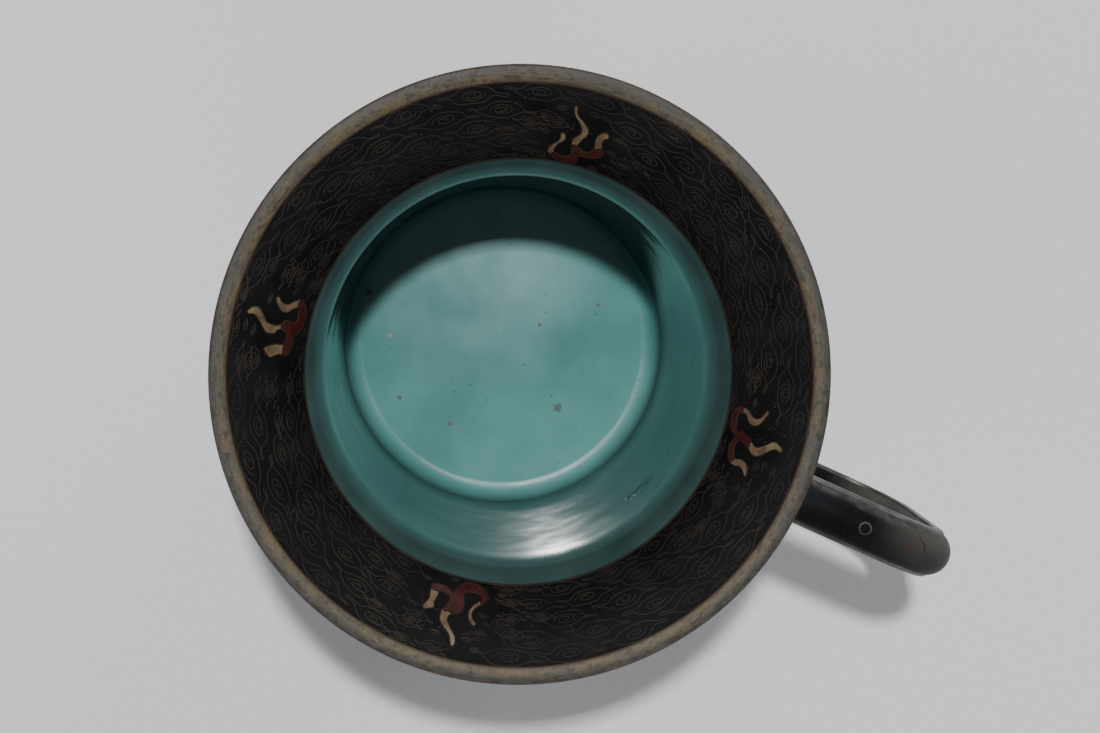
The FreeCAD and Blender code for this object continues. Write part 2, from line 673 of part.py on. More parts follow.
def handle_ring_blank():
    """Upright tube that the ring wire and its seat in the enamel are cut with."""
    outer = value("sizes.handle_ring_radius")
    inner = outer - value("sizes.handle_ring_wire_width")
    low = value(f"{HANDLE_TOP} + {STRIP_FACE}")
    height = value(HANDLE_CROWN) + value("sizes.cut_overrun")
    reach = value("sizes.handle_reach - sizes.handle_ring_setback")
    seat = Vector(reach, 0, low)
    tube = Part.makeCylinder(outer, height, seat).cut(Part.makeCylinder(inner, height, seat))
    return stored_shape("handle_ring_blank", tube)


def build_parts():
    """Every sub-part of the cup, in the order in which it is put together."""
    parts = [make_cup_wall(), make_floor_disc(), make_foot_ring(), make_lip_ring()]
    parts += [make_lining_enamel(), make_base_enamel(), make_throat_wire()]

    lip_field = turned_body("lip_field", lip_field_points())
    reds = make_flame_prisms("flame_red_prisms", [[shares] for shares in RED_BODY_SHARES])
    creams = make_flame_prisms("flame_cream_prisms", TONGUE_SHARES)
    parts.append(boolean("Common", "flame_red_enamel", lip_field, reds))
    lip_less_reds = boolean("Cut", "lip_field_less_reds", lip_field, reds)
    parts.append(boolean("Common", "flame_cream_enamel", lip_less_reds, creams))
    parts.append(boolean("Cut", "lip_enamel", lip_less_reds, creams))

    strip, handle_parts = make_handle()
    outside_field = make_outside_field()
    parts.append(boolean("Cut", "outside_enamel", outside_field, strip))
    return parts + handle_parts


def check_document():
    """Stop on any feature of the document that failed to build."""
    for feature in DOC.Objects:
        if "Invalid" in feature.State or "Error" in feature.State:
            raise RuntimeError(f"{feature.Label} failed: {feature.State}")


def check_shape(part):
    """Stop on a sub-part whose shape is missing, faulty or empty."""
    shape = part.Shape
    if shape.isNull() or not shape.isValid() or shape.Volume <= 0:
        raise RuntimeError(f"{part.Label} has no sound shape")


PARTS = build_parts()
DOC.recompute()
check_document()
for part in PARTS:
    check_shape(part)
os.makedirs("parts", exist_ok=True)
for part in PARTS:
    part.Shape.exportStep(f"parts/{part.Label}.step")
    print(part.Label, len(part.Shape.Solids), "solids", round(part.Shape.Volume, 1), "mm3")
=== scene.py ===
# %% [markdown]
# # A cloisonne cup
#
# Cloisonne is enamel held in cells of thin wire. A copper body gets its wires soldered on edge, the
# cells are filled with ground glass and fired, and the whole is stoned flat and polished, so wire
# and glass end flush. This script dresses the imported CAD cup: a bare metal ring round the mouth, a
# black lip with cloud scrolls and four flames, a turquoise bowl, and a strap handle.

import math
import random

import bmesh
import bpy
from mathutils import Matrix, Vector


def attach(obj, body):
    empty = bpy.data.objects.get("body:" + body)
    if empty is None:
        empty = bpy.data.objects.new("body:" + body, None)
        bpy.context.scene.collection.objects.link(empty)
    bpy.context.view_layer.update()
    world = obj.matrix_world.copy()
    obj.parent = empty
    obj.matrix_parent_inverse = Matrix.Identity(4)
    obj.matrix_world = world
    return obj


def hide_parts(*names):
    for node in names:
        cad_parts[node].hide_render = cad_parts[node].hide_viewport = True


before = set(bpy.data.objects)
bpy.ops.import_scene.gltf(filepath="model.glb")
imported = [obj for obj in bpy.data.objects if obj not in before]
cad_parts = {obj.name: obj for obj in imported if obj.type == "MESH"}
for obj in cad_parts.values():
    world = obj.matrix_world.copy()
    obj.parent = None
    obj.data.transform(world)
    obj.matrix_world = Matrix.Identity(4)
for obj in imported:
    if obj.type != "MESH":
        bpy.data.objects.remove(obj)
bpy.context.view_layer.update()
MM = 0.001

# %% [markdown]
# ## The camera
#
# The photograph looks almost straight down the mouth from about 37 cm, tipped six degrees, with a
# longish lens. The cup stands upright here, so the camera hangs over it. The two turns and the
# roll put the handle at the lower right, where the photograph has it.

# %% Place the camera
SENSOR_WIDTH = 36
LENS = 88.9
CAMERA_PLACE = Vector((-31.5, 22.9, 427.04)) * MM
CAMERA_TURN = (math.radians(-5.086), math.radians(-3.625), math.radians(24.413))


def new_object(name, data):
    """Put a camera, a lamp or a mesh in the scene as an object at the origin."""
    made = bpy.data.objects.new(name, data)
    bpy.context.scene.collection.objects.link(made)
    return made


camera_data = bpy.data.cameras.new("camera")
camera_data.sensor_width = SENSOR_WIDTH
camera_data.lens = LENS
camera = new_object("camera", camera_data)
camera.location = CAMERA_PLACE
camera.rotation_euler = CAMERA_TURN
bpy.context.scene.camera = camera
print("camera height in mm:", round(camera.location.z / MM))

# %% [markdown]
# ## Light
#
# One fairly small lamp stands above the cup, a little towards the top of the picture. It throws
# the crescent of shade on the bowl's floor and the patch of light that the glossy wall mirrors.
# Three wide panels stand low round the cup, so the outside is lit too, and a pale world fills the
# rest. Every light is an area lamp, aimed by turning its own -Z axis towards the cup.

# %% Light the cup
MOUTH = Vector((0, 0, 64)) * MM
KEY_DIRECTION = Vector((-0.149, 0.236, 0.96))
PICTURE_UP = Vector((-0.409, 0.912, 0))
PICTURE_RIGHT = Vector((0.912, 0.409, 0))
PANEL_RISE = Vector((0, 0, 0.24))
PANELS = [
    ("panel_above", 0.7, 0.6, 9),
    ("panel_below", -0.85, 0.35, 7),
    ("panel_left", -0.35, -0.9, 7),
]


def area_lamp(name, direction, distance, size, watts):
    """Square area lamp that looks at the mouth from a direction, with its lengths in metres."""
    data = bpy.data.lights.new(name, "AREA")
    data.size = size
    data.energy = watts
    lamp = new_object(name, data)
    lamp.location = MOUTH + direction.normalized() * distance
    lamp.rotation_euler = (-direction).to_track_quat("-Z", "Y").to_euler()


area_lamp("key", KEY_DIRECTION, distance=1.2, size=0.06, watts=15.5)
for name, up, right, watts in PANELS:
    direction = PICTURE_UP * up + PICTURE_RIGHT * right + PANEL_RISE
    area_lamp(name, direction, distance=1.6, size=0.7, watts=watts)

# %% Pale world
WORLD_COLOUR = (0.86, 0.88, 0.9, 1)
WORLD_STRENGTH = 0.22
world = bpy.data.worlds.new("world")
world.use_nodes = True
background = world.node_tree.nodes["Background"]
background.inputs["Color"].default_value = WORLD_COLOUR
background.inputs["Strength"].default_value = WORLD_STRENGTH
bpy.context.scene.world = world
print("world strength:", WORLD_STRENGTH)

# %% [markdown]
# ## Shader helpers
#
# Every finish below is a small web of nodes, and a few helpers keep that short. One adds a node
# and fills its sockets, and the others put out what the commonest nodes give: sums, noise, a band
# of values stretched to 0 and 1, and one colour laid over another through a mask.

# %% Node helpers


def fill_sockets(tree, node, sockets):
    """Fill a node's sockets with plain values or with links."""
    for key, source in sockets.items():
        if isinstance(source, bpy.types.NodeSocket):
            tree.links.new(source, node.inputs[key])
        else:
            node.inputs[key].default_value = source


def add_node(tree, kind, sockets, **settings):
    """Add a node, set its options, and fill its sockets."""
    made = tree.nodes.new("ShaderNode" + kind)
    for name, choice in settings.items():
        setattr(made, name, choice)
    fill_sockets(tree, made, sockets)
    return made


def maths(tree, operation, first, second):
    """Output of one Math node."""
    return add_node(tree, "Math", {0: first, 1: second}, operation=operation).outputs[0]


def times(tree, first, second):
    """Product of two values."""
    return maths(tree, "MULTIPLY", first, second)


def vector_maths(tree, operation, sockets, result="Vector"):
    """Output of one Vector Math node."""
    return add_node(tree, "VectorMath", sockets, operation=operation).outputs[result]


def noise(tree, place, scale, detail):
    """Output of one Noise Texture node."""
    sockets = {"Vector": place, "Scale": scale, "Detail": detail}
    return add_node(tree, "TexNoise", sockets).outputs["Fac"]


def spread(tree, source, low, high, bottom=0.0, top=1.0):
    """Output of a Map Range node that stretches a band of values."""
    sockets = {"Value": source, "From Min": low, "From Max": high, "To Min": bottom, "To Max": top}
    return add_node(tree, "MapRange", sockets).outputs["Result"]


print("node helpers are ready")

# %% Colour helpers


def tint(red, green, blue):
    """Linear colour from three values of 0 to 255, as a colour picker shows them."""
    parts = [value / 255 for value in (red, green, blue)]
    linear = [p / 12.92 if p <= 0.04045 else ((p + 0.055) / 1.055) ** 2.4 for p in parts]
    return (*linear, 1)


def blend_colours(tree, mask, under, over, share=None):
    """Output of a Mix node that lays one colour over another through a mask or a share of it."""
    if share is not None:
        mask = times(tree, mask, share)
    sockets = {0: mask, 6: under, 7: over}
    return add_node(tree, "Mix", sockets, data_type="RGBA").outputs[2]


print("tint of mid grey:", [round(part, 3) for part in tint(128, 128, 128)])

# %% Group helpers


def new_group(name, vectors, numbers, results):
    """Empty shader node group with named sockets: its tree, what it is given, what it puts out."""
    tree = bpy.data.node_groups.new(name, "ShaderNodeTree")
    for way, kind, labels in (
        ("INPUT", "Vector", vectors),
        ("INPUT", "Float", numbers),
        ("OUTPUT", "Float", results),
    ):
        for label in labels:
            tree.interface.new_socket(label, in_out=way, socket_type="NodeSocket" + kind)
    given = tree.nodes.new("NodeGroupInput").outputs
    put = tree.nodes.new("NodeGroupOutput").inputs
    return tree, given, put


def use_group(tree, group, place, **values):
    """Place a group in a material, with its own values, and give its outputs."""
    return add_node(tree, "Group", {"Vector": place, **values}, node_tree=group).outputs


print("group helpers are ready")

# %% [markdown]
# ## Effects that several finishes share
#
# Old enamel is never one even colour: it clouds softly, and gas left pinholes in it. Metal that was
# turned and rubbed has scratches that run round the axis. Each effect is a node group that puts out
# a mask, so each material can place it with its own size and strength.

# %% Clouding and pinholes
clouding, given, put = new_group("clouding", ["Vector"], ["Scale"], ["Mask"])
broad = noise(clouding, given["Vector"], given["Scale"], 4.0)
clouding.links.new(spread(clouding, broad, 0.35, 0.68), put["Mask"])

pinholes, given, put = new_group("pinholes", ["Vector"], ["Scale", "Size"], ["Mask"])
cells = add_node(pinholes, "TexVoronoi", {"Vector": given["Vector"], "Scale": given["Scale"]})
near = maths(pinholes, "LESS_THAN", cells.outputs["Distance"], given["Size"])
chosen = maths(pinholes, "GREATER_THAN", noise(pinholes, given["Vector"], 140.0, 2.0), 0.5)
pinholes.links.new(times(pinholes, near, chosen), put["Mask"])
print("groups so far:", len(bpy.data.node_groups))

# %% Scratches round the axis
turning, given, put = new_group(
    "turning_marks", ["Vector"], ["Fineness", "Length", "Detail"], ["Mask", "Radius"]
)
flat = vector_maths(turning, "MULTIPLY", {0: given["Vector"], 1: (1, 1, 0)})
reach = vector_maths(turning, "LENGTH", {0: flat}, "Value")
bearing = vector_maths(turning, "NORMALIZE", {0: flat})
lengthened = vector_maths(turning, "SCALE", {0: bearing, "Scale": given["Length"]})
height = add_node(turning, "SeparateXYZ", {0: given["Vector"]}).outputs["Z"]
level = maths(turning, "ADD", reach, height)
fine = add_node(turning, "CombineXYZ", {"Z": times(turning, level, given["Fineness"])})
place = vector_maths(turning, "ADD", {0: lengthened, 1: fine.outputs[0]})
marks = noise(turning, place, 1.0, given["Detail"])
away = spread(turning, reach, 1.5 * MM, 7 * MM)
swing = times(turning, maths(turning, "SUBTRACT", marks, 0.5), away)
turning.links.new(maths(turning, "ADD", swing, 0.5), put["Mask"])
turning.links.new(reach, put["Radius"])
print("turning marks: nodes", len(turning.nodes))

# %% One spot at a place
spot, given, put = new_group("spot", ["Vector", "Centre"], ["Size"], ["Mask"])
ragged = noise(spot, given["Vector"], 1500.0, 2.0)
gap = vector_maths(spot, "DISTANCE", {0: given["Vector"], 1: given["Centre"]}, "Value")
uneven = times(spot, gap, spread(spot, ragged, 0.3, 0.7, 0.7, 1.5))
share = maths(spot, "DIVIDE", uneven, given["Size"])
spot.links.new(spread(spot, share, 1.0, 0.55), put["Mask"])


def spot_mask(tree, place, centre, size):
    """Mask of one spot in a material, from its centre and its size in mm."""
    centre_in_metres = [value * MM for value in centre]
    return use_group(tree, spot, place, Centre=centre_in_metres, Size=size * MM)["Mask"]


print("spot: nodes", len(spot.nodes))

# %% [markdown]
# ## Finishes
#
# Enamel is glass, so it is glossy and not metallic, with its colour in the glass. The black of the
# lip has been stoned and is duller than the turquoise of the bowl, which keeps its fired gloss and
# ripples. The metal is brass gone grey-brown, with yellow where it is rubbed.

# %% Start a material


def new_material(name):
    """Material with its node tree, its Principled shader and its Object coordinates."""
    material = bpy.data.materials.new(name)
    material.use_nodes = True
    tree = material.node_tree
    shader = tree.nodes["Principled BSDF"]
    place = tree.nodes.new("ShaderNodeTexCoord").outputs["Object"]
    return material, tree, shader, place


def bumped(tree, shader, height, strength, distance):
    """Feed a height to the shader's normal through a Bump node."""
    sockets = {"Height": height, "Strength": strength, "Distance": distance}
    bump = add_node(tree, "Bump", sockets)
    fill_sockets(tree, shader, {"Normal": bump.outputs["Normal"]})


print("materials so far:", len(bpy.data.materials))

# %% [markdown]
# ## Turquoise enamel of the bowl
#
# This glass was poured thick and left as it came from the kiln. The floor is pale and even, with
# iron spots and a hazy patch, which is duller glaze with a painted sheen in its colour. The wall is
# painted darker and greyer as painted shade, and its ripples run round because the wet enamel was
# spread with a turning tool. One material does for both: the height of a point fades the floor's
# look into the wall's. Each spot is listed where the old cup has one.

# %% Floor of the bowl
TURQUOISE = tint(90, 147, 143)
TURQUOISE_DEEP = tint(72, 125, 122)
PAINTED_SHEEN_TINT = tint(138, 171, 176)
HAZE_AND_SHEEN_CENTRE = (-9 * MM, 10 * MM, 7 * MM)
turquoise, tree, shader, place = new_material("turquoise_enamel")
soft = use_group(tree, clouding, place, Scale=70.0)["Mask"]
colour = blend_colours(tree, soft, TURQUOISE_DEEP, TURQUOISE)
# The haze mask makes the glaze duller (roughness, below) and also lays a painted sheen: a pale
# bluish tint on the upper floor.
from_haze_and_sheen = vector_maths(tree, "DISTANCE", {0: place, 1: HAZE_AND_SHEEN_CENTRE}, "Value")
hazy = noise(tree, place, 95.0, 3.0)
haze_and_painted_sheen = times(tree, spread(tree, hazy, 0.2, 0.8), spread(tree, from_haze_and_sheen, 21 * MM, 3 * MM))
colour = blend_colours(tree, haze_and_painted_sheen, colour, PAINTED_SHEEN_TINT, 0.75)
print("floor: nodes", len(tree.nodes))

# %% Wall of the bowl, painted darker as painted shade
level = add_node(tree, "SeparateXYZ", {0: place}).outputs["Z"]
on_the_wall = spread(tree, level, 7.12 * MM, 9.5 * MM)
rounds = use_group(tree, turning, place, Fineness=120.0, Length=4.2, Detail=1.2)["Mask"]
# Painted shade: the same enamel gets darker, greyer tones on the wall than on the floor.
wall_painted_shade_tone = blend_colours(tree, spread(tree, rounds, 0.3, 0.7), tint(37, 49, 48), tint(51, 65, 63))
colour = blend_colours(tree, on_the_wall, colour, wall_painted_shade_tone, 0.9)
print("floor and wall: nodes", len(tree.nodes))

# %% Spots and pits in the glaze
# Each one has a centre and a size in mm, a depth and a colour.
GLAZE_SPOTS = [
    ((-11.1, -14.2, 7), 0.5, 0.05, (96, 78, 58)),
    ((-2.3, -14.7, 7), 0.45, 0.05, (104, 86, 64)),
    ((12.0, -5.5, 7), 0.85, 0.12, (78, 92, 82)),
    ((11.1, 11.6, 7), 0.4, 0.05, (100, 84, 66)),
    ((4.1, 5.0, 7), 0.35, 0.05, (96, 84, 66)),
    ((-16.5, -5.9, 7), 0.5, 0.05, (146, 134, 126)),
    ((-2.0, -7.9, 7), 0.4, 0.05, (70, 104, 120)),
    ((11.3, 10.0, 7), 0.35, 0.05, (74, 106, 122)),
    ((-22.2, -1.1, 7), 0.8, 0.05, (50, 50, 44)),
    ((24.5, -9.4, 39.2), 3.0, 0.5, (52, 68, 66)),
    ((24.5, -9.4, 39.2), 1.7, 1.0, (40, 56, 54)),
    ((23.7, -11.0, 38.2), 1.0, 1.1, (36, 50, 48)),
]
holes = use_group(tree, pinholes, place, Scale=420.0, Size=0.085)["Mask"]
colour = blend_colours(tree, holes, colour, tint(60, 82, 74), 0.55)
dents = times(tree, holes, 0.1)
for centre, size, depth, shade in GLAZE_SPOTS:
    mask = spot_mask(tree, place, centre, size)
    colour = blend_colours(tree, mask, colour, tint(*shade), 0.8)
    dents = maths(tree, "ADD", dents, times(tree, mask, depth))
print("spots in the glaze:", len(GLAZE_SPOTS))

# %% Gloss and ripples of the bowl
corner_start = spread(tree, level, 7.0 * MM, 7.04 * MM)
in_the_corner = times(tree, corner_start, spread(tree, level, 11 * MM, 9 * MM))
glazed = spread(tree, on_the_wall, 0.0, 1.0, 0.15, 0.05)
for dull in (
    times(tree, in_the_corner, spread(tree, hazy, 0.35, 0.65, 0.12, 0.28)),
    times(tree, haze_and_painted_sheen, 0.26),
    spread(tree, level, 47 * MM, 54 * MM, 0.0, 0.16),
):
    glazed = maths(tree, "ADD", glazed, dull)
sockets = {"Base Color": colour, "Roughness": glazed, "Specular IOR Level": 0.38}
fill_sockets(tree, shader, sockets)
thrown = times(tree, rounds, spread(tree, on_the_wall, 0.0, 1.0, 0.1, 0.75))
bumped(tree, shader, maths(tree, "SUBTRACT", thrown, dents), 0.5, 0.3 * MM)
print("turquoise: nodes", len(tree.nodes))

# %% [markdown]
# ## Stoned black enamel
#
# The lip and the outside were rubbed down with a stone until the wires showed, so the black is
# satin, not wet. Filings of wire stayed in the glass as tiny warm flecks. They are pinholes of two
# sizes in the pattern, since modelling thousands of grains would cost far more than they show.

# %% Black enamel


def black_enamel(name, roughness, fleck, fleck_share):
    """Stoned black glass with soft clouding and flecks: its material, nodes and colour."""
    material, tree, shader, place = new_material(name)
    soft = use_group(tree, clouding, place, Scale=160.0)["Mask"]
    colour = blend_colours(tree, soft, tint(12, 12, 13), tint(22, 21, 21))
    specks = use_group(tree, pinholes, place, Scale=1300.0, Size=0.1)["Mask"]
    colour = blend_colours(tree, specks, colour, fleck, fleck_share)
    dust = use_group(tree, pinholes, place, Scale=2300.0, Size=0.13)["Mask"]
    colour = blend_colours(tree, dust, colour, fleck, fleck_share * 0.8)
    satin = spread(tree, soft, 0.0, 1.0, roughness, roughness * 1.35)
    sockets = {"Base Color": colour, "Roughness": satin, "Specular IOR Level": 0.04}
    fill_sockets(tree, shader, sockets)
    bumped(tree, shader, noise(tree, place, 1400.0, 3.0), 0.12, 0.05 * MM)
    return material, tree, shader, place, colour


black = black_enamel("black_enamel", 0.48, tint(84, 77, 62), 0.55)[0]
print("black finish:", black.name)

# %% [markdown]
# ## Worn enamel and painted sheen of the handle
#
# Fingers have rubbed the handle. One edge has a grey band and the other a thin grey line. The end is
# greyer, partly wear and partly a painted sheen, and a bluish painted sheen lies by the root. The
# same black is taken and changed by masks along the strap: each mask is a band of one coordinate
# made uneven by a little noise.

# %% Masks of the wear and painted sheen on the handle
handle_black, tree, shader, place, colour = black_enamel(
    "handle_enamel", 0.4, tint(70, 66, 58), 0.3
)
parts = add_node(tree, "SeparateXYZ", {0: place}).outputs
wander = spread(tree, noise(tree, place, 230.0, 2.0), 0.3, 0.7, -0.35 * MM, 0.35 * MM)
from_middle = maths(tree, "ADD", parts["Y"], wander)
near_left = spread(tree, from_middle, 2.15 * MM, 2.8 * MM)
left_band = times(tree, near_left, spread(tree, parts["Z"], 50 * MM, 55 * MM))
right_line = spread(tree, parts["Y"], -2.85 * MM, -3.02 * MM)
leftward = spread(tree, from_middle, -3.5 * MM, 2.2 * MM)
# Wear and painted sheen: the end of the strap turns greyer on all but its right edge.
worn_and_sheen_toward_end = times(tree, spread(tree, parts["X"], 53 * MM, 61 * MM), leftward)
left_half = spread(tree, from_middle, -2.5 * MM, 0.5 * MM)
# Painted sheen: a bluish grey on the left half of the strap near the root.
painted_sheen_by_rim = times(tree, spread(tree, parts["X"], 49 * MM, 42 * MM), left_half)
print("masks of wear: nodes", len(tree.nodes))

# %% Colours of the wear and painted sheen on the handle
HANDLE_MARKS = [
    ((59.1, -0.1, 58.5), 0.55, (74, 40, 36)),
    ((59.5, -0.8, 58.4), 0.4, (70, 40, 34)),
    ((58.2, -1.1, 58.6), 0.4, (60, 38, 34)),
]
# Painted sheen, bluish, by the root.
colour = blend_colours(tree, painted_sheen_by_rim, colour, tint(36, 37, 43), 0.6)
# Wear and painted sheen, grey, towards the end.
colour = blend_colours(tree, worn_and_sheen_toward_end, colour, tint(71, 70, 67), 0.9)
for centre, size, shade in HANDLE_MARKS:
    mask = spot_mask(tree, place, centre, size)
    colour = blend_colours(tree, mask, colour, tint(*shade), 0.35)
# Grey tone of the band along the left edge and of the line along the right edge.
grey_edge_noise = spread(tree, noise(tree, place, 900.0, 3.0), 0.35, 0.65)
grey_edge_tone = blend_colours(tree, grey_edge_noise, tint(50, 48, 47), tint(74, 72, 69))
colour = blend_colours(tree, left_band, colour, grey_edge_tone, 0.9)
colour = blend_colours(tree, right_line, colour, grey_edge_tone, 0.8)
fill_sockets(tree, shader, {"Base Color": colour})
print("handle finish: nodes", len(tree.nodes))

# %% [markdown]
# ## Red and cream enamel of the flames
#
# Each flame cell holds a pinch of opaque glass, packed by hand, so its tone drifts. A soft pattern
# moves between two tones, and a broader one brings in a third. Both colours come from one function
# because only the tones differ.

# %% Red and cream enamel


def flame_enamel(name, light, dark, patch):
    """Opaque enamel of a flame cell, unevenly filled, from three tones."""
    material, tree, shader, place = new_material(name)
    soft = use_group(tree, clouding, place, Scale=620.0)["Mask"]
    colour = blend_colours(tree, soft, tint(*dark), tint(*light))
    broad = use_group(tree, clouding, place, Scale=330.0)["Mask"]
    colour = blend_colours(tree, broad, colour, tint(*patch), 0.65)
    grains = use_group(tree, pinholes, place, Scale=1500.0, Size=0.16)["Mask"]
    colour = blend_colours(tree, grains, colour, tint(*dark), 0.5)
    gloss = spread(tree, soft, 0.0, 1.0, 0.3, 0.42)
    sockets = {"Base Color": colour, "Roughness": gloss, "Specular IOR Level": 0.18}
    fill_sockets(tree, shader, sockets)
    bumped(tree, shader, soft, 0.2, 0.04 * MM)
    return material


red = flame_enamel("red_enamel", (60, 19, 19), (40, 13, 13), (48, 25, 23))
cream = flame_enamel("cream_enamel", (104, 91, 68), (68, 55, 41), (86, 66, 50))
print("flame finishes:", red.name, cream.name)

# %% [markdown]
# ## Aged metal of the mouth ring
#
# The bare ring is the brightest metal on the cup and the first thing that the eye meets. Its inner
# half is yellow in patches where it is rubbed; its outer half is painted a cooler grey, a painted
# reflection. Turning marks and dark streaks run round it, and a painted shade line darkens its
# outer edge. A thick skin of tarnish scatters light, so it is set up as mostly not metallic.

# %% Two halves of the mouth ring: rubbed yellow inside, painted reflection outside
ring_brass, tree, shader, place = new_material("ring_brass")
patches = use_group(tree, clouding, place, Scale=260.0)["Mask"]
turned = use_group(tree, turning, place, Fineness=5200.0, Length=14.0, Detail=5.0)
across = spread(tree, turned["Mask"], 0.35, 0.65)
inner = blend_colours(tree, across, tint(58, 54, 48), tint(84, 78, 69))
inner = blend_colours(tree, patches, inner, tint(96, 83, 54), 0.7)
# Painted reflection: the cool grey tones of the outer half.
outer = blend_colours(tree, across, tint(51, 49, 46), tint(72, 69, 65))
uneven_by = spread(tree, noise(tree, place, 240.0, 4.0), 0.3, 0.7, -0.3 * MM, 0.3 * MM)
border = maths(tree, "ADD", turned["Radius"], uneven_by)
colour = blend_colours(tree, spread(tree, border, 40.5 * MM, 41.3 * MM), inner, outer)
print("halves of the ring: nodes", len(tree.nodes))

# %% Streaks, pits, glints and edges of the mouth ring; the outer edge's line is painted shade
marks = use_group(tree, turning, place, Fineness=1700.0, Length=34.0, Detail=3.0)["Mask"]
streaks = spread(tree, marks, 0.5, 0.68, 0.0, 0.75)
colour = blend_colours(tree, streaks, colour, tint(38, 36, 33))
pitted = use_group(tree, clouding, place, Scale=2200.0)["Mask"]
colour = blend_colours(tree, pitted, colour, tint(42, 39, 35), 0.35)
glints = use_group(tree, pinholes, place, Scale=3400.0, Size=0.2)["Mask"]
colour = blend_colours(tree, glints, colour, tint(142, 128, 94), 0.3)
inner_edge = spread(tree, turned["Radius"], 39.8 * MM, 39.6 * MM)
colour = blend_colours(tree, inner_edge, colour, tint(54, 37, 23))
ring_level = add_node(tree, "SeparateXYZ", {0: place}).outputs["Z"]
ring_top = spread(tree, ring_level, 63.3 * MM, 63.6 * MM)
# Painted shade: a dark brown line where the top turns down at the outer edge.
painted_shade_outer_edge = times(tree, spread(tree, turned["Radius"], 41.7 * MM, 41.85 * MM), ring_top)
colour = blend_colours(tree, painted_shade_outer_edge, colour, tint(70, 50, 38), 0.8)
brushed = spread(tree, turned["Mask"], 0.3, 0.7, 0.5, 0.64)
sockets = {
    "Base Color": colour,
    "Roughness": brushed,
    "Metallic": 0.15,
    "Specular IOR Level": 0.3,
}
fill_sockets(tree, shader, sockets)
bumped(tree, shader, turned["Mask"], 0.25, 0.04 * MM)
print("ring brass: nodes", len(tree.nodes))

# %% [markdown]
# ## Other metals
#
# The wires, the handle's edges, the foot and the hidden copper differ in tone and in how much
# tarnish covers them. One function makes them all: two tones, soft patches, and a fine grain.

# %% Brass wire, edge metal and copper


def plain_metal(name, light, dark, scale, roughness, metallic=1.0, specular=0.5):
    """Metal with soft patches of tarnish and a fine grain. Thick tarnish is less metallic."""
    material, tree, shader, place = new_material(name)
    soft = use_group(tree, clouding, place, Scale=scale)["Mask"]
    sockets = {
        "Base Color": blend_colours(tree, soft, tint(*dark), tint(*light)),
        "Roughness": spread(tree, soft, 0.0, 1.0, roughness, roughness * 0.7),
        "Metallic": metallic,
        "Specular IOR Level": specular,
    }
    fill_sockets(tree, shader, sockets)
    bumped(tree, shader, noise(tree, place, 1800.0, 3.0), 0.2, 0.03 * MM)
    return material


cloud_brass = plain_metal("cloud_wire_brass", (46, 41, 34), (35, 31, 33), 150.0, 0.8, 0.0, 0.06)
outside_brass = plain_metal("outside_wire_brass", (74, 66, 50), (52, 46, 42), 150.0, 0.7, 0.0, 0.2)
flame_brass = plain_metal("flame_wire_brass", (50, 38, 29), (32, 24, 20), 300.0, 0.7, 0.1, 0.1)
edge_metal = plain_metal("handle_edge_metal", (84, 81, 78), (50, 48, 46), 260.0, 0.5, 0.4)
cell_brass = plain_metal("handle_ring_brass", (47, 45, 38), (37, 35, 30), 400.0, 0.6, 0.2)
foot_brass = plain_metal("foot_brass", (116, 104, 82), (76, 68, 56), 160.0, 0.5, 0.6)
dark_copper = plain_metal("dark_copper", (42, 22, 19), (28, 17, 16), 400.0, 0.6, 0.2)
copper = plain_metal("copper", (196, 120, 88), (140, 78, 56), 120.0, 0.4)
print("materials:", [material.name for material in bpy.data.materials])

# %% [markdown]
# ## How a piece is finished
#
# Every new piece is drawn in millimetres with bmesh operators. The same last steps follow each
# time: vertices in one place are merged, faces turn outwards, and the mesh is scaled to metres.
# The object itself stays at the origin, unturned, because its place is in its mesh.

# %% Finish a piece
MERGE_GAP = 0.0004
SLIVER = 0.0002
SHARP = math.radians(38)


def mesh_object(shape, name, material):
    """Turn a bmesh into an object with one material."""
    mesh = bpy.data.meshes.new(name)
    shape.to_mesh(mesh)
    shape.free()
    mesh.materials.append(material)
    return new_object(name, mesh)


def finish_piece(shape, name, material, replaced=()):
    """Turn a bmesh in mm into a piece that rides on the cup and stands for CAD nodes."""
    bmesh.ops.remove_doubles(shape, verts=shape.verts, dist=MERGE_GAP)
    bmesh.ops.dissolve_degenerate(shape, edges=shape.edges, dist=SLIVER)
    bmesh.ops.recalc_face_normals(shape, faces=shape.faces)
    bmesh.ops.scale(shape, vec=(MM, MM, MM), verts=shape.verts)
    piece = mesh_object(shape, name, material)
    piece.data.shade_smooth()
    piece.data.set_sharp_from_angle(angle=SHARP)
    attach(piece, "root")
    if replaced:
        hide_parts(*replaced)
    print(name, "faces:", len(piece.data.polygons))


# %% [markdown]
# ## Turned pieces
#
# The bowl was spun on a lathe, so each layer of it is one section carried round the axis. The
# section starts as a single vertex. A straight run extrudes it, and a curve spins it about the
# curve's own centre, so the flare is a true arc that the flames and wires can be laid on later.

# %% Sizes of the cup in mm
WALL_TOP_REACH = 26.9
WALL_LEAN = math.radians(3.5)
FLARE_SIZE = 14.4
LIP_END_REACH = 39.5
LIP_END_LEVEL = 63.6
THROAT = math.radians(33.8)
THROAT_WIRE_HALF = 0.2
LAYERS = 2.6
ENAMEL = 0.8
FLARE_REACH = WALL_TOP_REACH + FLARE_SIZE * math.cos(WALL_LEAN)
LIP_END = math.acos((FLARE_REACH - LIP_END_REACH) / FLARE_SIZE)
FLARE_LEVEL = LIP_END_LEVEL - FLARE_SIZE * math.sin(LIP_END)
FLARE_CENTRE = (FLARE_REACH, FLARE_LEVEL)
WALL_TOP_LEVEL = FLARE_LEVEL + FLARE_SIZE * math.sin(WALL_LEAN)
THROAT_LOW = THROAT - THROAT_WIRE_HALF / FLARE_SIZE
THROAT_HIGH = THROAT + THROAT_WIRE_HALF / FLARE_SIZE


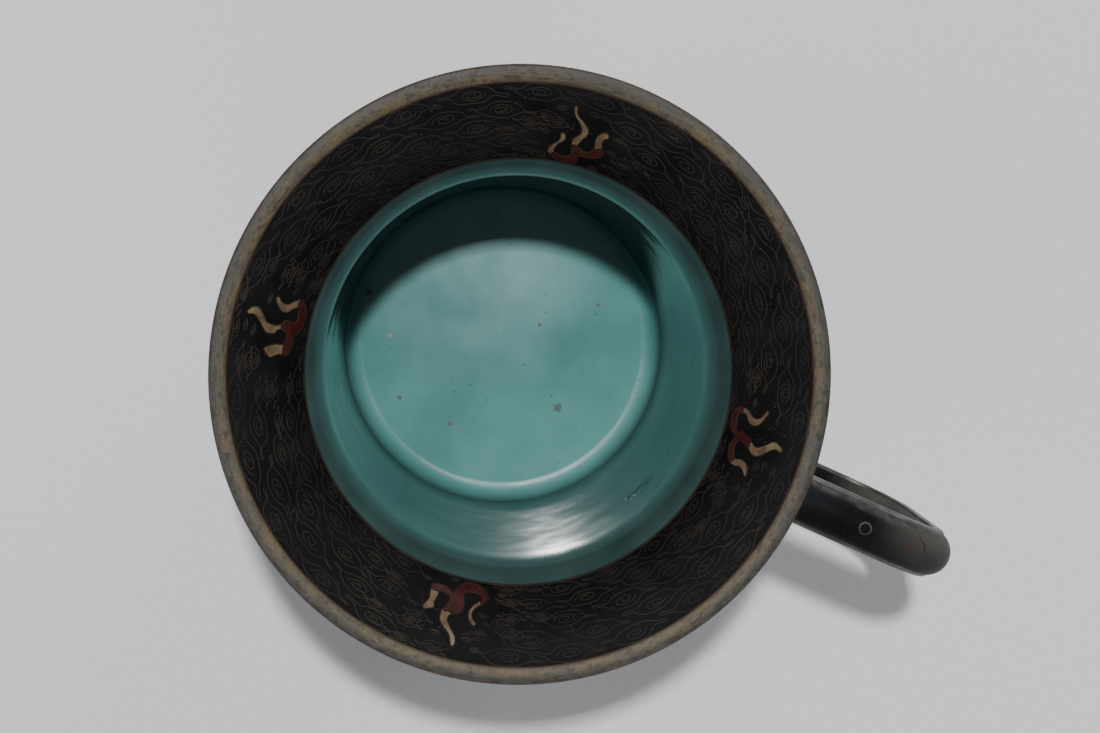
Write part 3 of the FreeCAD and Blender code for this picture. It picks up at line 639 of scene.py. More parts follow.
def on_flare(depth, angle):
    """Reach and level of a point on the flare, at a depth below its inside face."""
    size = FLARE_SIZE - depth
    return FLARE_REACH - size * math.cos(angle), FLARE_LEVEL + size * math.sin(angle)


def on_wall(depth, level):
    """Reach and level of a point on the leaning wall."""
    lean = (WALL_TOP_LEVEL - level) * math.tan(WALL_LEAN)
    return WALL_TOP_REACH + depth / math.cos(WALL_LEAN) - lean, level


print("flare centre:", [round(part, 3) for part in FLARE_CENTRE])
print("lip ends at", round(math.degrees(LIP_END), 2))

# %% Draw a section and spin it
TURN_STEPS = 192


def draw_section(start, moves, closed=True):
    """Section in the XZ plane. A move is a point, or an arc's centre, turn and step count."""
    shape = bmesh.new()
    last = shape.verts.new((start[0], 0, start[1]))
    for move in moves:
        if len(move) == 2:
            last = bmesh.ops.extrude_vert_indiv(shape, verts=[last])["verts"][0]
            last.co = (move[0], 0, move[1])
        else:
            centre, turn, steps = move
            pivot = (centre[0], 0, centre[1])
            bent = bmesh.ops.spin(
                shape, geom=[last], cent=pivot, axis=(0, 1, 0), angle=turn, steps=steps
            )
            last = [part for part in bent["geom_last"] if isinstance(part, bmesh.types.BMVert)][0]
    if closed:
        shape.verts.ensure_lookup_table()
        shape.edges.new((last, shape.verts[0]))
    return shape


def turned_piece(name, start, moves, material, replaced, closed=True):
    """Piece turned once round the cup's axis from a section."""
    shape = draw_section(start, moves, closed)
    bmesh.ops.spin(
        shape,
        geom=shape.verts[:] + shape.edges[:],
        cent=(0, 0, 0),
        axis=(0, 0, 1),
        angle=math.tau,
        steps=TURN_STEPS,
        use_merge=True,
    )
    finish_piece(shape, name, material, replaced)


print("steps in one turn:", TURN_STEPS)

# %% [markdown]
# ## Mouth ring
#
# A ring of heavy sheet is soldered over the mouth and covers the ends of all the layers. Its top
# is slightly crowned and its corners are worn round. It is a single turned section, with true arcs
# for the two corners so that they catch the light as one line.

# %% Mouth ring
RING_CORNER = 0.42
ring_moves = [
    (39.7, 63.74),
    (40.2, 63.91),
    (40.8, 63.99),
    (41.1, 64.0),
    (41.56, 63.97),
    ((41.56, 63.97 - RING_CORNER), math.pi / 2, 6),
    (41.98, 61.98),
    ((41.0, 61.98), math.pi / 2, 6),
    (39.8, 61.0),
]
ring_start = (LIP_END_REACH, LIP_END_LEVEL)
turned_piece("mouth_ring", ring_start, ring_moves, ring_brass, ["lip_ring"])

# %% [markdown]
# ## Black lip
#
# The inside of the flare is one wide field of black enamel from the throat to the mouth ring. It
# is an arc there and an arc back, a millimetre apart, which makes it a closed shell of even depth.

# %% Black lip
LIP_DEPTH = 1.0
lip_span = LIP_END - THROAT_HIGH
lip_start = on_flare(0, THROAT_HIGH)
lip_moves = [
    (FLARE_CENTRE, lip_span, 40),
    on_flare(LIP_DEPTH, LIP_END),
    (FLARE_CENTRE, -lip_span, 20),
]
turned_piece("black_lip", lip_start, lip_moves, black, ["lip_enamel"])

# %% [markdown]
# ## Throat wire
#
# One flat wire goes round the throat and keeps the black and the turquoise apart while they melt.
# It is turned like the layers beside it and stands a few hundredths of a millimetre proud.

# %% Throat wire, drawn a hair proud of the enamel
PROUD = 0.04
rounding = (THROAT_HIGH - THROAT_LOW) * 0.2
wire_start = on_flare(0, THROAT_LOW)
wire_moves = [
    on_flare(-PROUD, THROAT_LOW + rounding),
    on_flare(-PROUD, THROAT_HIGH - rounding),
    on_flare(0, THROAT_HIGH),
    on_flare(ENAMEL, THROAT_HIGH),
    on_flare(ENAMEL, THROAT_LOW),
]
turned_piece("throat_band", wire_start, wire_moves, cloud_brass, ["throat_wire"])

# %% [markdown]
# ## Turquoise bowl
#
# The lining is one skin of glass: a flat floor, a soft corner, a wall that leans out a little, and
# the start of the flare. In the real cup the wall runs into the flare without a line, so a gentle
# curve joins the two. It is worked out from the place and the direction at both of its ends.

# %% Curve from the wall into the flare
EASE_TURN = math.radians(13)
EASE_DROP = 5
EASE_STEPS = 14
ease_low = Vector(on_wall(0, WALL_TOP_LEVEL - EASE_DROP))
ease_high = Vector(on_flare(0, EASE_TURN))
ease_pull = (ease_high - ease_low).length
low_pull = Vector((math.sin(WALL_LEAN), math.cos(WALL_LEAN))) * ease_pull
high_pull = Vector((math.sin(EASE_TURN), math.cos(EASE_TURN))) * ease_pull


def eased(share):
    """Point of the gentle curve that leads the straight wall into the flare."""
    rest = 1 - share
    low_part = ease_low * (rest * rest * (1 + 2 * share)) + low_pull * (share * rest * rest)
    high_part = ease_high * (share * share * (1 + 2 * rest)) - high_pull * (share * share * rest)
    return tuple(low_part + high_part)


print("curve into the flare in mm:", round(ease_pull, 2))

# %% Turquoise bowl
FLOOR_LEVEL = 7
FLOOR_ROUND = 3
UPRIGHT_TURN = math.pi / 2 - WALL_LEAN
corner_reach = on_wall(0, FLOOR_LEVEL)[0] - FLOOR_ROUND * math.tan(UPRIGHT_TURN / 2)
bowl_moves = [
    (corner_reach, FLOOR_LEVEL),
    ((corner_reach, FLOOR_LEVEL + FLOOR_ROUND), -UPRIGHT_TURN, 12),
    *[eased(step / EASE_STEPS) for step in range(EASE_STEPS + 1)],
    (FLARE_CENTRE, THROAT_LOW - EASE_TURN, 20),
    on_flare(ENAMEL, THROAT_LOW),
    on_flare(ENAMEL, WALL_LEAN),
    on_wall(ENAMEL, FLOOR_LEVEL - ENAMEL),
    (0, FLOOR_LEVEL - ENAMEL),
]
turned_piece(
    "turquoise_bowl",
    (0, FLOOR_LEVEL),
    bowl_moves,
    turquoise,
    ["lining_enamel"],
    closed=False,
)

# %% [markdown]
# ## Black outside
#
# The outside follows the inside at the thickness of the copper and both enamels, turns under at the
# bottom and ends at the foot ring. Arcs about the flare's own centre keep the thickness even.

# %% Black outside
UNDERSIDE = 4.4
BELLY_ROUND = 2
FOOT_REACH = 23
belly_reach = on_wall(LAYERS, UNDERSIDE)[0] - BELLY_ROUND * math.tan(UPRIGHT_TURN / 2)
belly_level = UNDERSIDE + BELLY_ROUND
belly_start = (
    belly_reach + BELLY_ROUND * math.cos(WALL_LEAN),
    belly_level - BELLY_ROUND * math.sin(WALL_LEAN),
)
outside_span = LIP_END - WALL_LEAN
outside_start = on_flare(LAYERS, LIP_END)
outside_moves = [
    (FLARE_CENTRE, -outside_span, 40),
    belly_start,
    ((belly_reach, belly_level), UPRIGHT_TURN, 8),
    (FOOT_REACH, UNDERSIDE),
    (FOOT_REACH, UNDERSIDE + ENAMEL),
    on_wall(LAYERS - ENAMEL, UNDERSIDE + ENAMEL),
    on_flare(LAYERS - ENAMEL, WALL_LEAN),
    (FLARE_CENTRE, outside_span, 20),
]
turned_piece(
    "black_outside", outside_start, outside_moves, black, ["outside_enamel"]
)

# %% [markdown]
# ## Foot ring
#
# A plain upright ring of brass is soldered under the cup, so that the enamel never touches the
# table. Its lower corners are rounded, as they are on a ring that has stood on many tables.

# %% Foot ring
FOOT_WIDTH = 2.2
FOOT_TOP = 5.2
FOOT_EDGE = 0.4
foot_inner = FOOT_REACH - FOOT_WIDTH
foot_start = (foot_inner, FOOT_TOP)
foot_moves = [
    (foot_inner, FOOT_EDGE),
    ((foot_inner + FOOT_EDGE, FOOT_EDGE), -math.pi / 2, 6),
    (FOOT_REACH - FOOT_EDGE, 0),
    ((FOOT_REACH - FOOT_EDGE, FOOT_EDGE), -math.pi / 2, 6),
    (FOOT_REACH, FOOT_TOP),
]
turned_piece("foot", foot_start, foot_moves, foot_brass, ["foot_ring"])

# %% [markdown]
# ## Laying flat drawings on the lip
#
# A wire worker draws the flames and clouds flat, then lays them on the curved copper. The same is
# done here. A Bezier curve with automatic handles gives each outline its soft bends. It is made
# into a mesh, which is cut into narrow strips where it has to bend, and each vertex is laid on
# the cup.

# %% Places on the lip and on the outside


def round_the_axis(bearing, reach, level):
    """Point at a bearing round the axis, from its reach and its level."""
    return Vector((reach * math.cos(bearing), reach * math.sin(bearing), level))


def on_lip(bearing, angle, height):
    """Point on the lip at a bearing round the axis and an angle up the flare."""
    return round_the_axis(bearing, *on_flare(-height, angle))


def on_outside(bearing, run, height):
    """Point on the outside, a run in mm down from the mouth ring."""
    size = FLARE_SIZE - LAYERS
    flare_run = size * (LIP_END - WALL_LEAN)
    if run < flare_run:
        return round_the_axis(bearing, *on_flare(LAYERS + height, LIP_END - run / size))
    wall_top = WALL_TOP_LEVEL - LAYERS * math.sin(WALL_LEAN)
    down = wall_top - (run - flare_run) * math.cos(WALL_LEAN)
    return round_the_axis(bearing, *on_wall(LAYERS + height, down))


print("lip band in mm:", round(FLARE_SIZE * (LIP_END - THROAT_HIGH), 2))

# %% Flat drawings as meshes


def drawn_curve(outlines, closed=True, wire=0.0, depth=0.0, smoothness=4):
    """Mesh of smooth flat outlines, as wires of a half width or as slabs of a half depth."""
    data = bpy.data.curves.new("drawing", "CURVE")
    data.dimensions = "3D" if wire else "2D"
    data.resolution_u = smoothness
    data.bevel_depth = wire
    data.bevel_resolution = 0
    data.use_fill_caps = True
    data.extrude = depth
    if not wire:
        data.fill_mode = "BOTH"
    for outline in outlines:
        spline = data.splines.new("BEZIER")
        spline.bezier_points.add(len(outline) - 1)
        spline.use_cyclic_u = closed
        for point, place in zip(spline.bezier_points, outline):
            point.co = (place[0], place[1], 0)
            point.handle_left_type = "AUTO"
            point.handle_right_type = "AUTO"
    holder = bpy.data.objects.new("drawing", data)
    mesh = bpy.data.meshes.new_from_object(holder)
    shape = bmesh.new()
    shape.from_mesh(mesh)
    bpy.data.objects.remove(holder)
    bpy.data.curves.remove(data)
    bpy.data.meshes.remove(mesh)
    return shape


sample = drawn_curve([[(0, 0), (1, 0), (1, 1), (0, 1)]])
print("vertices of a rounded square:", len(sample.verts))
sample.free()

# %% Bend a drawing and lay it on the cup
CUT_GAP = 0.0001


def lay(whole, drawing, to_place):
    """Move each vertex of a flat drawing to its place, and add the drawing to a shape."""
    for vert in drawing.verts:
        vert.co = to_place(*vert.co)
    carrier = bpy.data.meshes.new("carrier")
    drawing.to_mesh(carrier)
    drawing.free()
    whole.from_mesh(carrier)
    bpy.data.meshes.remove(carrier)


def cut_into_strips(shape, step, direction):
    """Cut a flat slab by planes a step apart, so that it can bend."""
    along = [vert.co.dot(Vector(direction)) for vert in shape.verts]
    place = math.ceil(min(along) / step) * step
    while place < max(along):
        bmesh.ops.bisect_plane(
            shape,
            geom=shape.verts[:] + shape.edges[:] + shape.faces[:],
            plane_co=Vector(direction) * place,
            plane_no=direction,
            dist=CUT_GAP,
        )
        place += step


sample = drawn_curve([[(0, 0), (1, 0), (1, 1), (0, 1)]], depth=0.1)
cut_into_strips(sample, 0.25, (1, 0, 0))
print("faces of a rounded slab in strips:", len(sample.faces))
sample.free()

# %% [markdown]
# ## Flames
#
# Four flames stand round the lip. Each is a dark red body with three pale tongues, bent by hand
# from wire, so no two are alike. Their outlines are shares of the flame's width and height, and
# they start from the same numbers as the solids.

# %% Flame outlines
FLAME_RED_OUTLINES = [
    [
        (-0.39, 0.15), (-0.34, 0.09), (-0.25, 0.09), (-0.15, 0.1), (-0.07, 0.13), (-0.08, 0.2),
        (-0.05, 0.29), (0.0, 0.37), (0.07, 0.37), (0.14, 0.36), (0.1, 0.29), (0.07, 0.23),
        (0.09, 0.19), (0.16, 0.16), (0.26, 0.17), (0.34, 0.19), (0.42, 0.22), (0.44, 0.17),
        (0.34, 0.11), (0.22, 0.09), (0.11, 0.11), (0.04, 0.13), (0.0, 0.1), (-0.06, 0.05),
        (-0.16, 0.02), (-0.28, 0.01), (-0.4, 0.04), (-0.47, 0.08), (-0.47, 0.14),
    ],
    [
        (-0.1, 0.27), (-0.08, 0.18), (-0.08, 0.1), (-0.15, 0.06), (-0.24, 0.05), (-0.33, 0.09),
        (-0.39, 0.08), (-0.36, 0.01), (-0.26, -0.02), (-0.15, -0.02), (-0.03, -0.02), (0.06, 0.0),
        (0.06, 0.06), (0.06, 0.11), (0.12, 0.13), (0.2, 0.13), (0.3, 0.15), (0.38, 0.19),
        (0.42, 0.26), (0.37, 0.34), (0.31, 0.32), (0.26, 0.3), (0.22, 0.24), (0.15, 0.21),
        (0.08, 0.22), (0.01, 0.26), (-0.04, 0.28),
    ],
    [
        (0.56, 0.18), (0.51, 0.12), (0.44, 0.08), (0.32, 0.05), (0.2, 0.05), (0.1, 0.06),
        (0.02, 0.11), (-0.04, 0.16), (-0.11, 0.17), (-0.2, 0.18), (-0.28, 0.21), (-0.35, 0.24),
        (-0.34, 0.31), (-0.29, 0.32), (-0.22, 0.32), (-0.15, 0.29), (-0.08, 0.28), (-0.02, 0.29),
        (0.03, 0.33), (0.05, 0.39), (0.11, 0.4), (0.14, 0.38), (0.18, 0.35), (0.19, 0.28),
        (0.17, 0.21), (0.22, 0.16), (0.31, 0.16), (0.4, 0.19), (0.49, 0.22),
    ],
    [
        (0.5, 0.19), (0.44, 0.14), (0.34, 0.13), (0.26, 0.13), (0.18, 0.16), (0.12, 0.18),
        (0.08, 0.11), (0.03, 0.05), (-0.06, 0.0), (-0.17, -0.01), (-0.28, 0.0), (-0.39, 0.04),
        (-0.45, 0.1), (-0.46, 0.17), (-0.43, 0.23), (-0.39, 0.27), (-0.35, 0.25), (-0.36, 0.18),
        (-0.32, 0.13), (-0.23, 0.11), (-0.14, 0.11), (-0.08, 0.15), (-0.07, 0.21), (-0.09, 0.28),
        (-0.1, 0.36), (-0.07, 0.44), (-0.01, 0.48), (0.06, 0.5), (0.12, 0.48), (0.2, 0.48),
        (0.17, 0.38), (0.15, 0.3), (0.17, 0.25), (0.23, 0.22), (0.31, 0.22), (0.36, 0.23),
        (0.43, 0.24), (0.47, 0.23),
    ],
]
FLAME_CREAM_OUTLINES = [
    [
        [
            (-0.46, 0.12), (-0.47, 0.18), (-0.43, 0.25), (-0.37, 0.3), (-0.34, 0.36), (-0.36, 0.43),
            (-0.42, 0.48), (-0.49, 0.53), (-0.47, 0.55), (-0.38, 0.51), (-0.3, 0.47), (-0.24, 0.41),
            (-0.22, 0.34), (-0.26, 0.27), (-0.34, 0.23), (-0.38, 0.19), (-0.39, 0.14),
        ],
        [
            (0.04, 0.35), (0.04, 0.4), (0.08, 0.45), (0.08, 0.5), (0.04, 0.57), (-0.01, 0.64),
            (-0.06, 0.7), (-0.07, 0.76), (-0.04, 0.83), (0.0, 0.89), (0.04, 0.88), (0.03, 0.78),
            (0.07, 0.71), (0.12, 0.65), (0.18, 0.59), (0.22, 0.5), (0.2, 0.43), (0.15, 0.38),
            (0.11, 0.34),
        ],
        [
            (0.41, 0.18), (0.37, 0.26), (0.35, 0.32), (0.37, 0.4), (0.42, 0.45), (0.49, 0.48),
            (0.56, 0.48), (0.53, 0.44), (0.49, 0.4), (0.46, 0.35), (0.47, 0.3), (0.48, 0.24),
            (0.46, 0.19),
        ],
    ],
    [
        [
            (-0.32, 0.05), (-0.4, 0.06), (-0.46, 0.1), (-0.44, 0.18), (-0.38, 0.24), (-0.32, 0.3),
            (-0.3, 0.36), (-0.3, 0.42), (-0.27, 0.44), (-0.23, 0.4), (-0.22, 0.34), (-0.26, 0.29),
            (-0.32, 0.24), (-0.35, 0.18), (-0.36, 0.12),
        ],
        [
            (-0.1, 0.27), (-0.11, 0.35), (-0.07, 0.42), (-0.02, 0.47), (-0.01, 0.54), (-0.04, 0.6),
            (-0.08, 0.67), (-0.14, 0.73), (-0.18, 0.81), (-0.19, 0.88), (-0.18, 0.92),
            (-0.15, 0.89), (-0.14, 0.82), (-0.09, 0.74), (-0.03, 0.69), (0.04, 0.63), (0.09, 0.55),
            (0.08, 0.47), (0.04, 0.4), (0.0, 0.32), (-0.03, 0.26), (-0.08, 0.24),
        ],
        [
            (0.28, 0.29), (0.24, 0.39), (0.23, 0.48), (0.26, 0.56), (0.31, 0.6), (0.36, 0.61),
            (0.4, 0.56), (0.39, 0.53), (0.35, 0.5), (0.34, 0.43), (0.36, 0.37), (0.37, 0.32),
        ],
    ],
    [
        [
            (0.56, 0.19), (0.53, 0.27), (0.48, 0.33), (0.44, 0.4), (0.45, 0.47), (0.48, 0.52),
            (0.52, 0.56), (0.5, 0.59), (0.45, 0.58), (0.39, 0.53), (0.34, 0.48), (0.31, 0.41),
            (0.33, 0.34), (0.38, 0.29), (0.42, 0.23), (0.46, 0.18),
        ],
        [
            (0.11, 0.36), (0.11, 0.42), (0.09, 0.49), (0.1, 0.57), (0.12, 0.65), (0.18, 0.7),
            (0.24, 0.75), (0.3, 0.83), (0.3, 0.91), (0.26, 0.97), (0.21, 1.0), (0.19, 0.97),
            (0.2, 0.91), (0.18, 0.85), (0.14, 0.8), (0.1, 0.75), (0.04, 0.7), (-0.02, 0.64),
            (-0.04, 0.56), (-0.02, 0.49), (0.03, 0.45), (0.05, 0.39), (0.07, 0.35),
        ],
        [
            (-0.21, 0.3), (-0.19, 0.4), (-0.2, 0.48), (-0.22, 0.56), (-0.26, 0.62), (-0.31, 0.61),
            (-0.36, 0.56), (-0.39, 0.52), (-0.37, 0.46), (-0.34, 0.38), (-0.34, 0.28),
        ],
    ],
    [
        [
            (0.48, 0.22), (0.48, 0.3), (0.47, 0.38), (0.5, 0.46), (0.52, 0.53), (0.49, 0.56),
            (0.42, 0.53), (0.36, 0.49), (0.37, 0.41), (0.36, 0.34), (0.35, 0.26), (0.4, 0.21),
        ],
        [
            (0.22, 0.47), (0.23, 0.57), (0.21, 0.65), (0.14, 0.73), (0.07, 0.79), (0.02, 0.86),
            (-0.01, 0.95), (-0.04, 1.0), (-0.07, 0.97), (-0.07, 0.89), (-0.04, 0.81), (0.02, 0.74),
            (0.07, 0.67), (0.11, 0.6), (0.1, 0.54), (0.06, 0.5), (0.1, 0.45), (0.16, 0.43),
        ],
        [
            (-0.38, 0.21), (-0.31, 0.24), (-0.25, 0.29), (-0.2, 0.36), (-0.18, 0.45), (-0.2, 0.52),
            (-0.24, 0.58), (-0.29, 0.61), (-0.32, 0.58), (-0.3, 0.55), (-0.26, 0.5), (-0.24, 0.43),
            (-0.26, 0.37), (-0.31, 0.31), (-0.37, 0.27), (-0.41, 0.24),
        ],
    ],
]
print("outlines:", len(FLAME_RED_OUTLINES) + sum(len(part) for part in FLAME_CREAM_OUTLINES))

# %% Place the flames
FLAME_FIRST = math.radians(8.5)
FLAME_TURNS = [0, 0.255, 0.5147, 0.7517]
FLAME_SPAN = 9
FLAME_RISE = 8
FLAME_START = 0.35
FLAME_FOOT = on_flare(0, THROAT_HIGH)[0] + FLAME_START
FLAME_MIDDLE = FLAME_FOOT + FLAME_RISE / 2


def flame_place(across, out, turn, height):
    """Place on the lip of one point of a flame, both given in mm of the flat drawing."""
    bearing = FLAME_FIRST + math.tau * turn - across / FLAME_MIDDLE
    angle = math.acos((FLARE_REACH - FLAME_FOOT - out) / FLARE_SIZE)
    return on_lip(bearing, angle, height)


def in_mm(outline):
    """Flat drawing in mm of one outline."""
    return [(across * FLAME_SPAN, out * FLAME_RISE) for across, out in outline]


print("a flame's foot stands at a reach of", round(FLAME_FOOT, 2), "mm")

# %% Fill the flames
CELL_HALF = 0.1
STRIP_HEIGHT = 0.5
STRIP_WIDTH = 1.5
RED_TOP = 0.03
CREAM_TOP = 0.02


def flame_cells(motifs, top):
    """Thin slabs of enamel laid on the lip, one for each outline of each flame."""
    whole = bmesh.new()
    for turn, outlines in zip(FLAME_TURNS, motifs):
        for outline in outlines:
            slab = drawn_curve([in_mm(outline)], depth=CELL_HALF)
            cut_into_strips(slab, STRIP_HEIGHT, (0, 1, 0))
            cut_into_strips(slab, STRIP_WIDTH, (1, 0, 0))
            lay(whole, slab, lambda x, y, z: flame_place(x, y, turn, z - CELL_HALF + top))
    return whole


red_cells = flame_cells([[outline] for outline in FLAME_RED_OUTLINES], RED_TOP)
finish_piece(red_cells, "flame_bodies", red, ["flame_red_enamel"])
cream_cells = flame_cells(FLAME_CREAM_OUTLINES, CREAM_TOP)
finish_piece(cream_cells, "flame_tongues", cream, ["flame_cream_enamel"])

# %% [markdown]
# ## Wire walls of the flames
#
# A fine wire on edge goes round every cell and keeps the red from running into the cream. The wire
# is the same outline as the cell, given thickness as a curve, so wire and glass can't drift apart.

# %% Wire walls of the flames
WALL_WIRE = 0.09
WALL_PRESSED = 0.8
all_outlines = [
    (turn, [body] + tongues)
    for turn, body, tongues in zip(FLAME_TURNS, FLAME_RED_OUTLINES, FLAME_CREAM_OUTLINES)
]
flame_wires = bmesh.new()
for turn, outlines in all_outlines:
    wires = drawn_curve([in_mm(outline) for outline in outlines], wire=WALL_WIRE, smoothness=5)
    lay(flame_wires, wires, lambda x, y, z: flame_place(x, y, turn, z * WALL_PRESSED))
finish_piece(flame_wires, "flame_wires", flame_brass)

# %% [markdown]
# ## Cloud scrolls
#
# The black ground of such cups is filled with cloud scrolls: a long flattened loop of wire with a
# curl in its middle. They hold the large field of enamel to the copper, and they run round in
# staggered rows. No two are quite the same, so length, height and direction vary a little.

# %% One cloud and its curl
CLOUD_LOOP = [
    (-0.56, -0.2), (-0.44, -0.14), (-0.35, -0.02), (-0.3, 0.2), (-0.17, 0.38), (0.0, 0.44),
    (0.18, 0.38), (0.27, 0.2), (0.36, 0.12), (0.47, 0.22), (0.56, 0.2), (0.46, 0.1),
    (0.36, -0.04), (0.3, -0.22), (0.17, -0.38), (0.0, -0.44), (-0.18, -0.38), (-0.27, -0.22),
    (-0.36, -0.16), (-0.46, -0.22),
]
CURL_POINTS = 13
CURL_LENGTH = 0.21
CURL_HEIGHT = 0.27
CURL_WINDING = 0.8
draw = random.Random(11)


def cloud(middle, length, height):
    """One cloud, loop and curl, at a place in the unrolled band. Half of them are turned about."""
    turned = draw.choice((-1, 1))
    long = turned * length * draw.uniform(0.94, 1.04)
    tall = turned * height * draw.uniform(0.9, 1.06)
    sway = draw.uniform(-0.05, 0.05) * length
    tilt = draw.uniform(-0.14, 0.14)
    shift = draw.uniform(-0.05, 0.05) * length
    turns = draw.uniform(1.5, 2.1)
    curl = []
    for number in range(CURL_POINTS):
        share = number / (CURL_POINTS - 1)
        size = 1 - CURL_WINDING * share
        swing = share * turns * math.tau + tilt
        curl.append((CURL_LENGTH * size * math.cos(swing), CURL_HEIGHT * size * math.sin(swing)))
    shapes = []
    for outline in (CLOUD_LOOP, curl):
        places = []
        for across, up in outline:
            along = middle + shift + across * long + sway * (1 - abs(across))
            along += draw.uniform(-0.01, 0.01) * length
            over = (up + across * tilt) * tall + draw.uniform(-0.035, 0.035) * height
            places.append((along, over))
        shapes.append(places)
    return shapes


print("points in one cloud:", len(CLOUD_LOOP) + CURL_POINTS)

# %% Height of a stoned wire
SIDE_BAND = 0.01
WIRE_TOP = 0.02
WIRE_SIDE = 0.014
WIRE_BOTTOM = -0.06


def flush(height):
    """Height of a wire's vertex once the wire is stoned almost level with the enamel."""
    if height > SIDE_BAND:
        return WIRE_TOP
    return WIRE_SIDE if height > -SIDE_BAND else WIRE_BOTTOM


print("a stoned wire stands", WIRE_TOP, "mm proud")

# %% [markdown]
# ## Clouds on the lip
#
# Five staggered rows fill the lip. A cloud that would cross a flame is left out and four small ones
# are tried in its place, which is how a wire worker fills an awkward corner.

# %% Lay one cloud on the lip
LIP_WIRE = 0.06
FLAME_CLEARANCE = 0.55
flame_points = [
    flame_place(across, out, turn, 0)
    for turn, outlines in all_outlines
    for outline in outlines
    for across, out in in_mm(outline)
]


def clear_of_flames(place):
    """True where a wire would stand free of every flame."""
    return all((place - point).length > FLAME_CLEARANCE for point in flame_points)


def lay_cloud(whole, row_angle, middle, length, height, may_split=True):
    """Lay one cloud on the lip, or four small ones where a flame is in its way."""
    row_reach = on_flare(0, row_angle)[0]

    def place_in_row(along, over, proud):
        """Place on the lip of a point of the unrolled row."""
        return on_lip(along / row_reach, row_angle + over / FLARE_SIZE, proud)

    crowded = False
    for closed, outline in zip((True, False), cloud(middle, length, height)):
        if all(clear_of_flames(place_in_row(along, over, 0)) for along, over in outline):
            wire = drawn_curve([outline], closed=closed, wire=LIP_WIRE, smoothness=2)
            lay(whole, wire, lambda x, y, z: place_in_row(x, y, flush(z)))
        else:
            crowded = True
    if crowded and may_split:
        for side in (-1, 1):
            for up in (-1, 1):
                angle = row_angle + up * height / 4 / FLARE_SIZE
                lay_cloud(whole, angle, middle + side * length / 4, length / 2, height / 2, False)


print("points of the flames to keep clear of:", len(flame_points))

# %% Clouds on the lip
LIP_ROWS = 5
LIP_CLOUDS = 26
LIP_FILL = 1.08
lip_wires = bmesh.new()
pitch = FLARE_SIZE * (LIP_END - THROAT_HIGH) / LIP_ROWS
for row in range(LIP_ROWS):
    row_angle = THROAT_HIGH + (row + 0.5) * pitch / FLARE_SIZE
    length = math.tau * on_flare(0, row_angle)[0] / LIP_CLOUDS
    for number in range(LIP_CLOUDS):
        middle = (number + 0.5 * (row % 2)) * length
        lay_cloud(lip_wires, row_angle, middle, length, pitch * LIP_FILL)
finish_piece(lip_wires, "lip_cloud_wires", cloud_brass)

# %% [markdown]
# ## Red curls
#
# Two short curls of red stand near the mouth ring at the right. They are thin threads laid like
# the cloud wires, since there is no wider cell of enamel to see.

# %% Two small red curls near the mouth ring
# Each one has a bearing in degrees, a reach in mm and the way that its tail turns.
RED_CURLS = [(44.69, 38.26, 1), (42.71, 38.8, -1)]
RED_WIRE = 0.07
RED_PROUD = 0.01
red_curls = bmesh.new()
for bearing, reach, facing in RED_CURLS:
    start = math.radians(bearing)
    middle_angle = math.acos((FLARE_REACH - reach) / FLARE_SIZE)
    curl = [(-0.42, 0.1), (-0.2, 0.3), (0.1, 0.28), (0.3, 0.05), (0.42, -0.25 * facing)]
    wire = drawn_curve([curl], closed=False, wire=RED_WIRE)
    lay(
        red_curls,
        wire,
        lambda x, y, z: on_lip(
            start - x / reach, middle_angle + y / FLARE_SIZE, flush(z) + RED_PROUD
        ),
    )
finish_piece(red_curls, "red_curls", red)

# %% [markdown]
# ## Clouds on the outside
#
# The same scrolls cover the outside, as on cups of this kind. The same function makes them, in
# fifteen rows of twenty, with a slightly thicker wire. They stop short of the handle's two roots,
# where the strap is soldered on.

# %% Clouds on the outside
STRAP_TOP = 56
STRAP_LOW = 16
ROOT_CLEAR_UP = 5.5
ROOT_CLEAR_SIDE = 8.5
OUTSIDE_TOP = 1.2
OUTSIDE_END = 58.5
OUTSIDE_ROWS = 15
OUTSIDE_CLOUDS = 20
OUTSIDE_FILL = 1.1
OUTSIDE_WIRE = 0.08
outside_wires = bmesh.new()
pitch = (OUTSIDE_END - OUTSIDE_TOP) / OUTSIDE_ROWS
for row in range(OUTSIDE_ROWS):
    row_run = OUTSIDE_TOP + (row + 0.5) * pitch
    row_reach, _, level = on_outside(0, row_run, 0)
    length = math.tau * row_reach / OUTSIDE_CLOUDS
    by_root = min(abs(level - STRAP_LOW), abs(level - STRAP_TOP)) < ROOT_CLEAR_UP
    for number in range(OUTSIDE_CLOUDS):
        middle = (number + 0.5 * (row % 2)) * length
        bearing = middle / row_reach
        beside_strap = abs(math.sin(bearing) * row_reach) < ROOT_CLEAR_SIDE
        if by_root and beside_strap and math.cos(bearing) > 0:
            continue
        shapes = cloud(middle, length, pitch * OUTSIDE_FILL)
        for closed, outline in zip((True, False), shapes):
            wire = drawn_curve([outline], closed=closed, wire=OUTSIDE_WIRE, smoothness=1)
            lay(
                outside_wires,
                wire,
                lambda x, y, z: on_outside(x / row_reach, row_run - y, flush(z)),
            )
finish_piece(outside_wires, "outside_cloud_wires", outside_brass)

# %% [markdown]
# ## The handle
#
# A copper strap was bent into a square hook and enamelled on both faces, and a bare metal wire
# runs along each edge. Each layer is one section drawn across the strap. Extruding it along the
# straight runs and spinning it round the two bends keeps the section the same all the way.

# %% Sweep a section along the strap
BEND = 9
BEND_REACH = 55.7
BEND_STEPS = 18
STRAP_END = 26.2


def run_straight(shape, loop, move):
    """Extrude a loop of edges by a move, and give the new loop's parts."""
    grown = bmesh.ops.extrude_edge_only(shape, edges=loop)["geom"]
    ends = [part for part in grown if isinstance(part, bmesh.types.BMVert)]
    bmesh.ops.translate(shape, vec=move, verts=ends)
    return grown


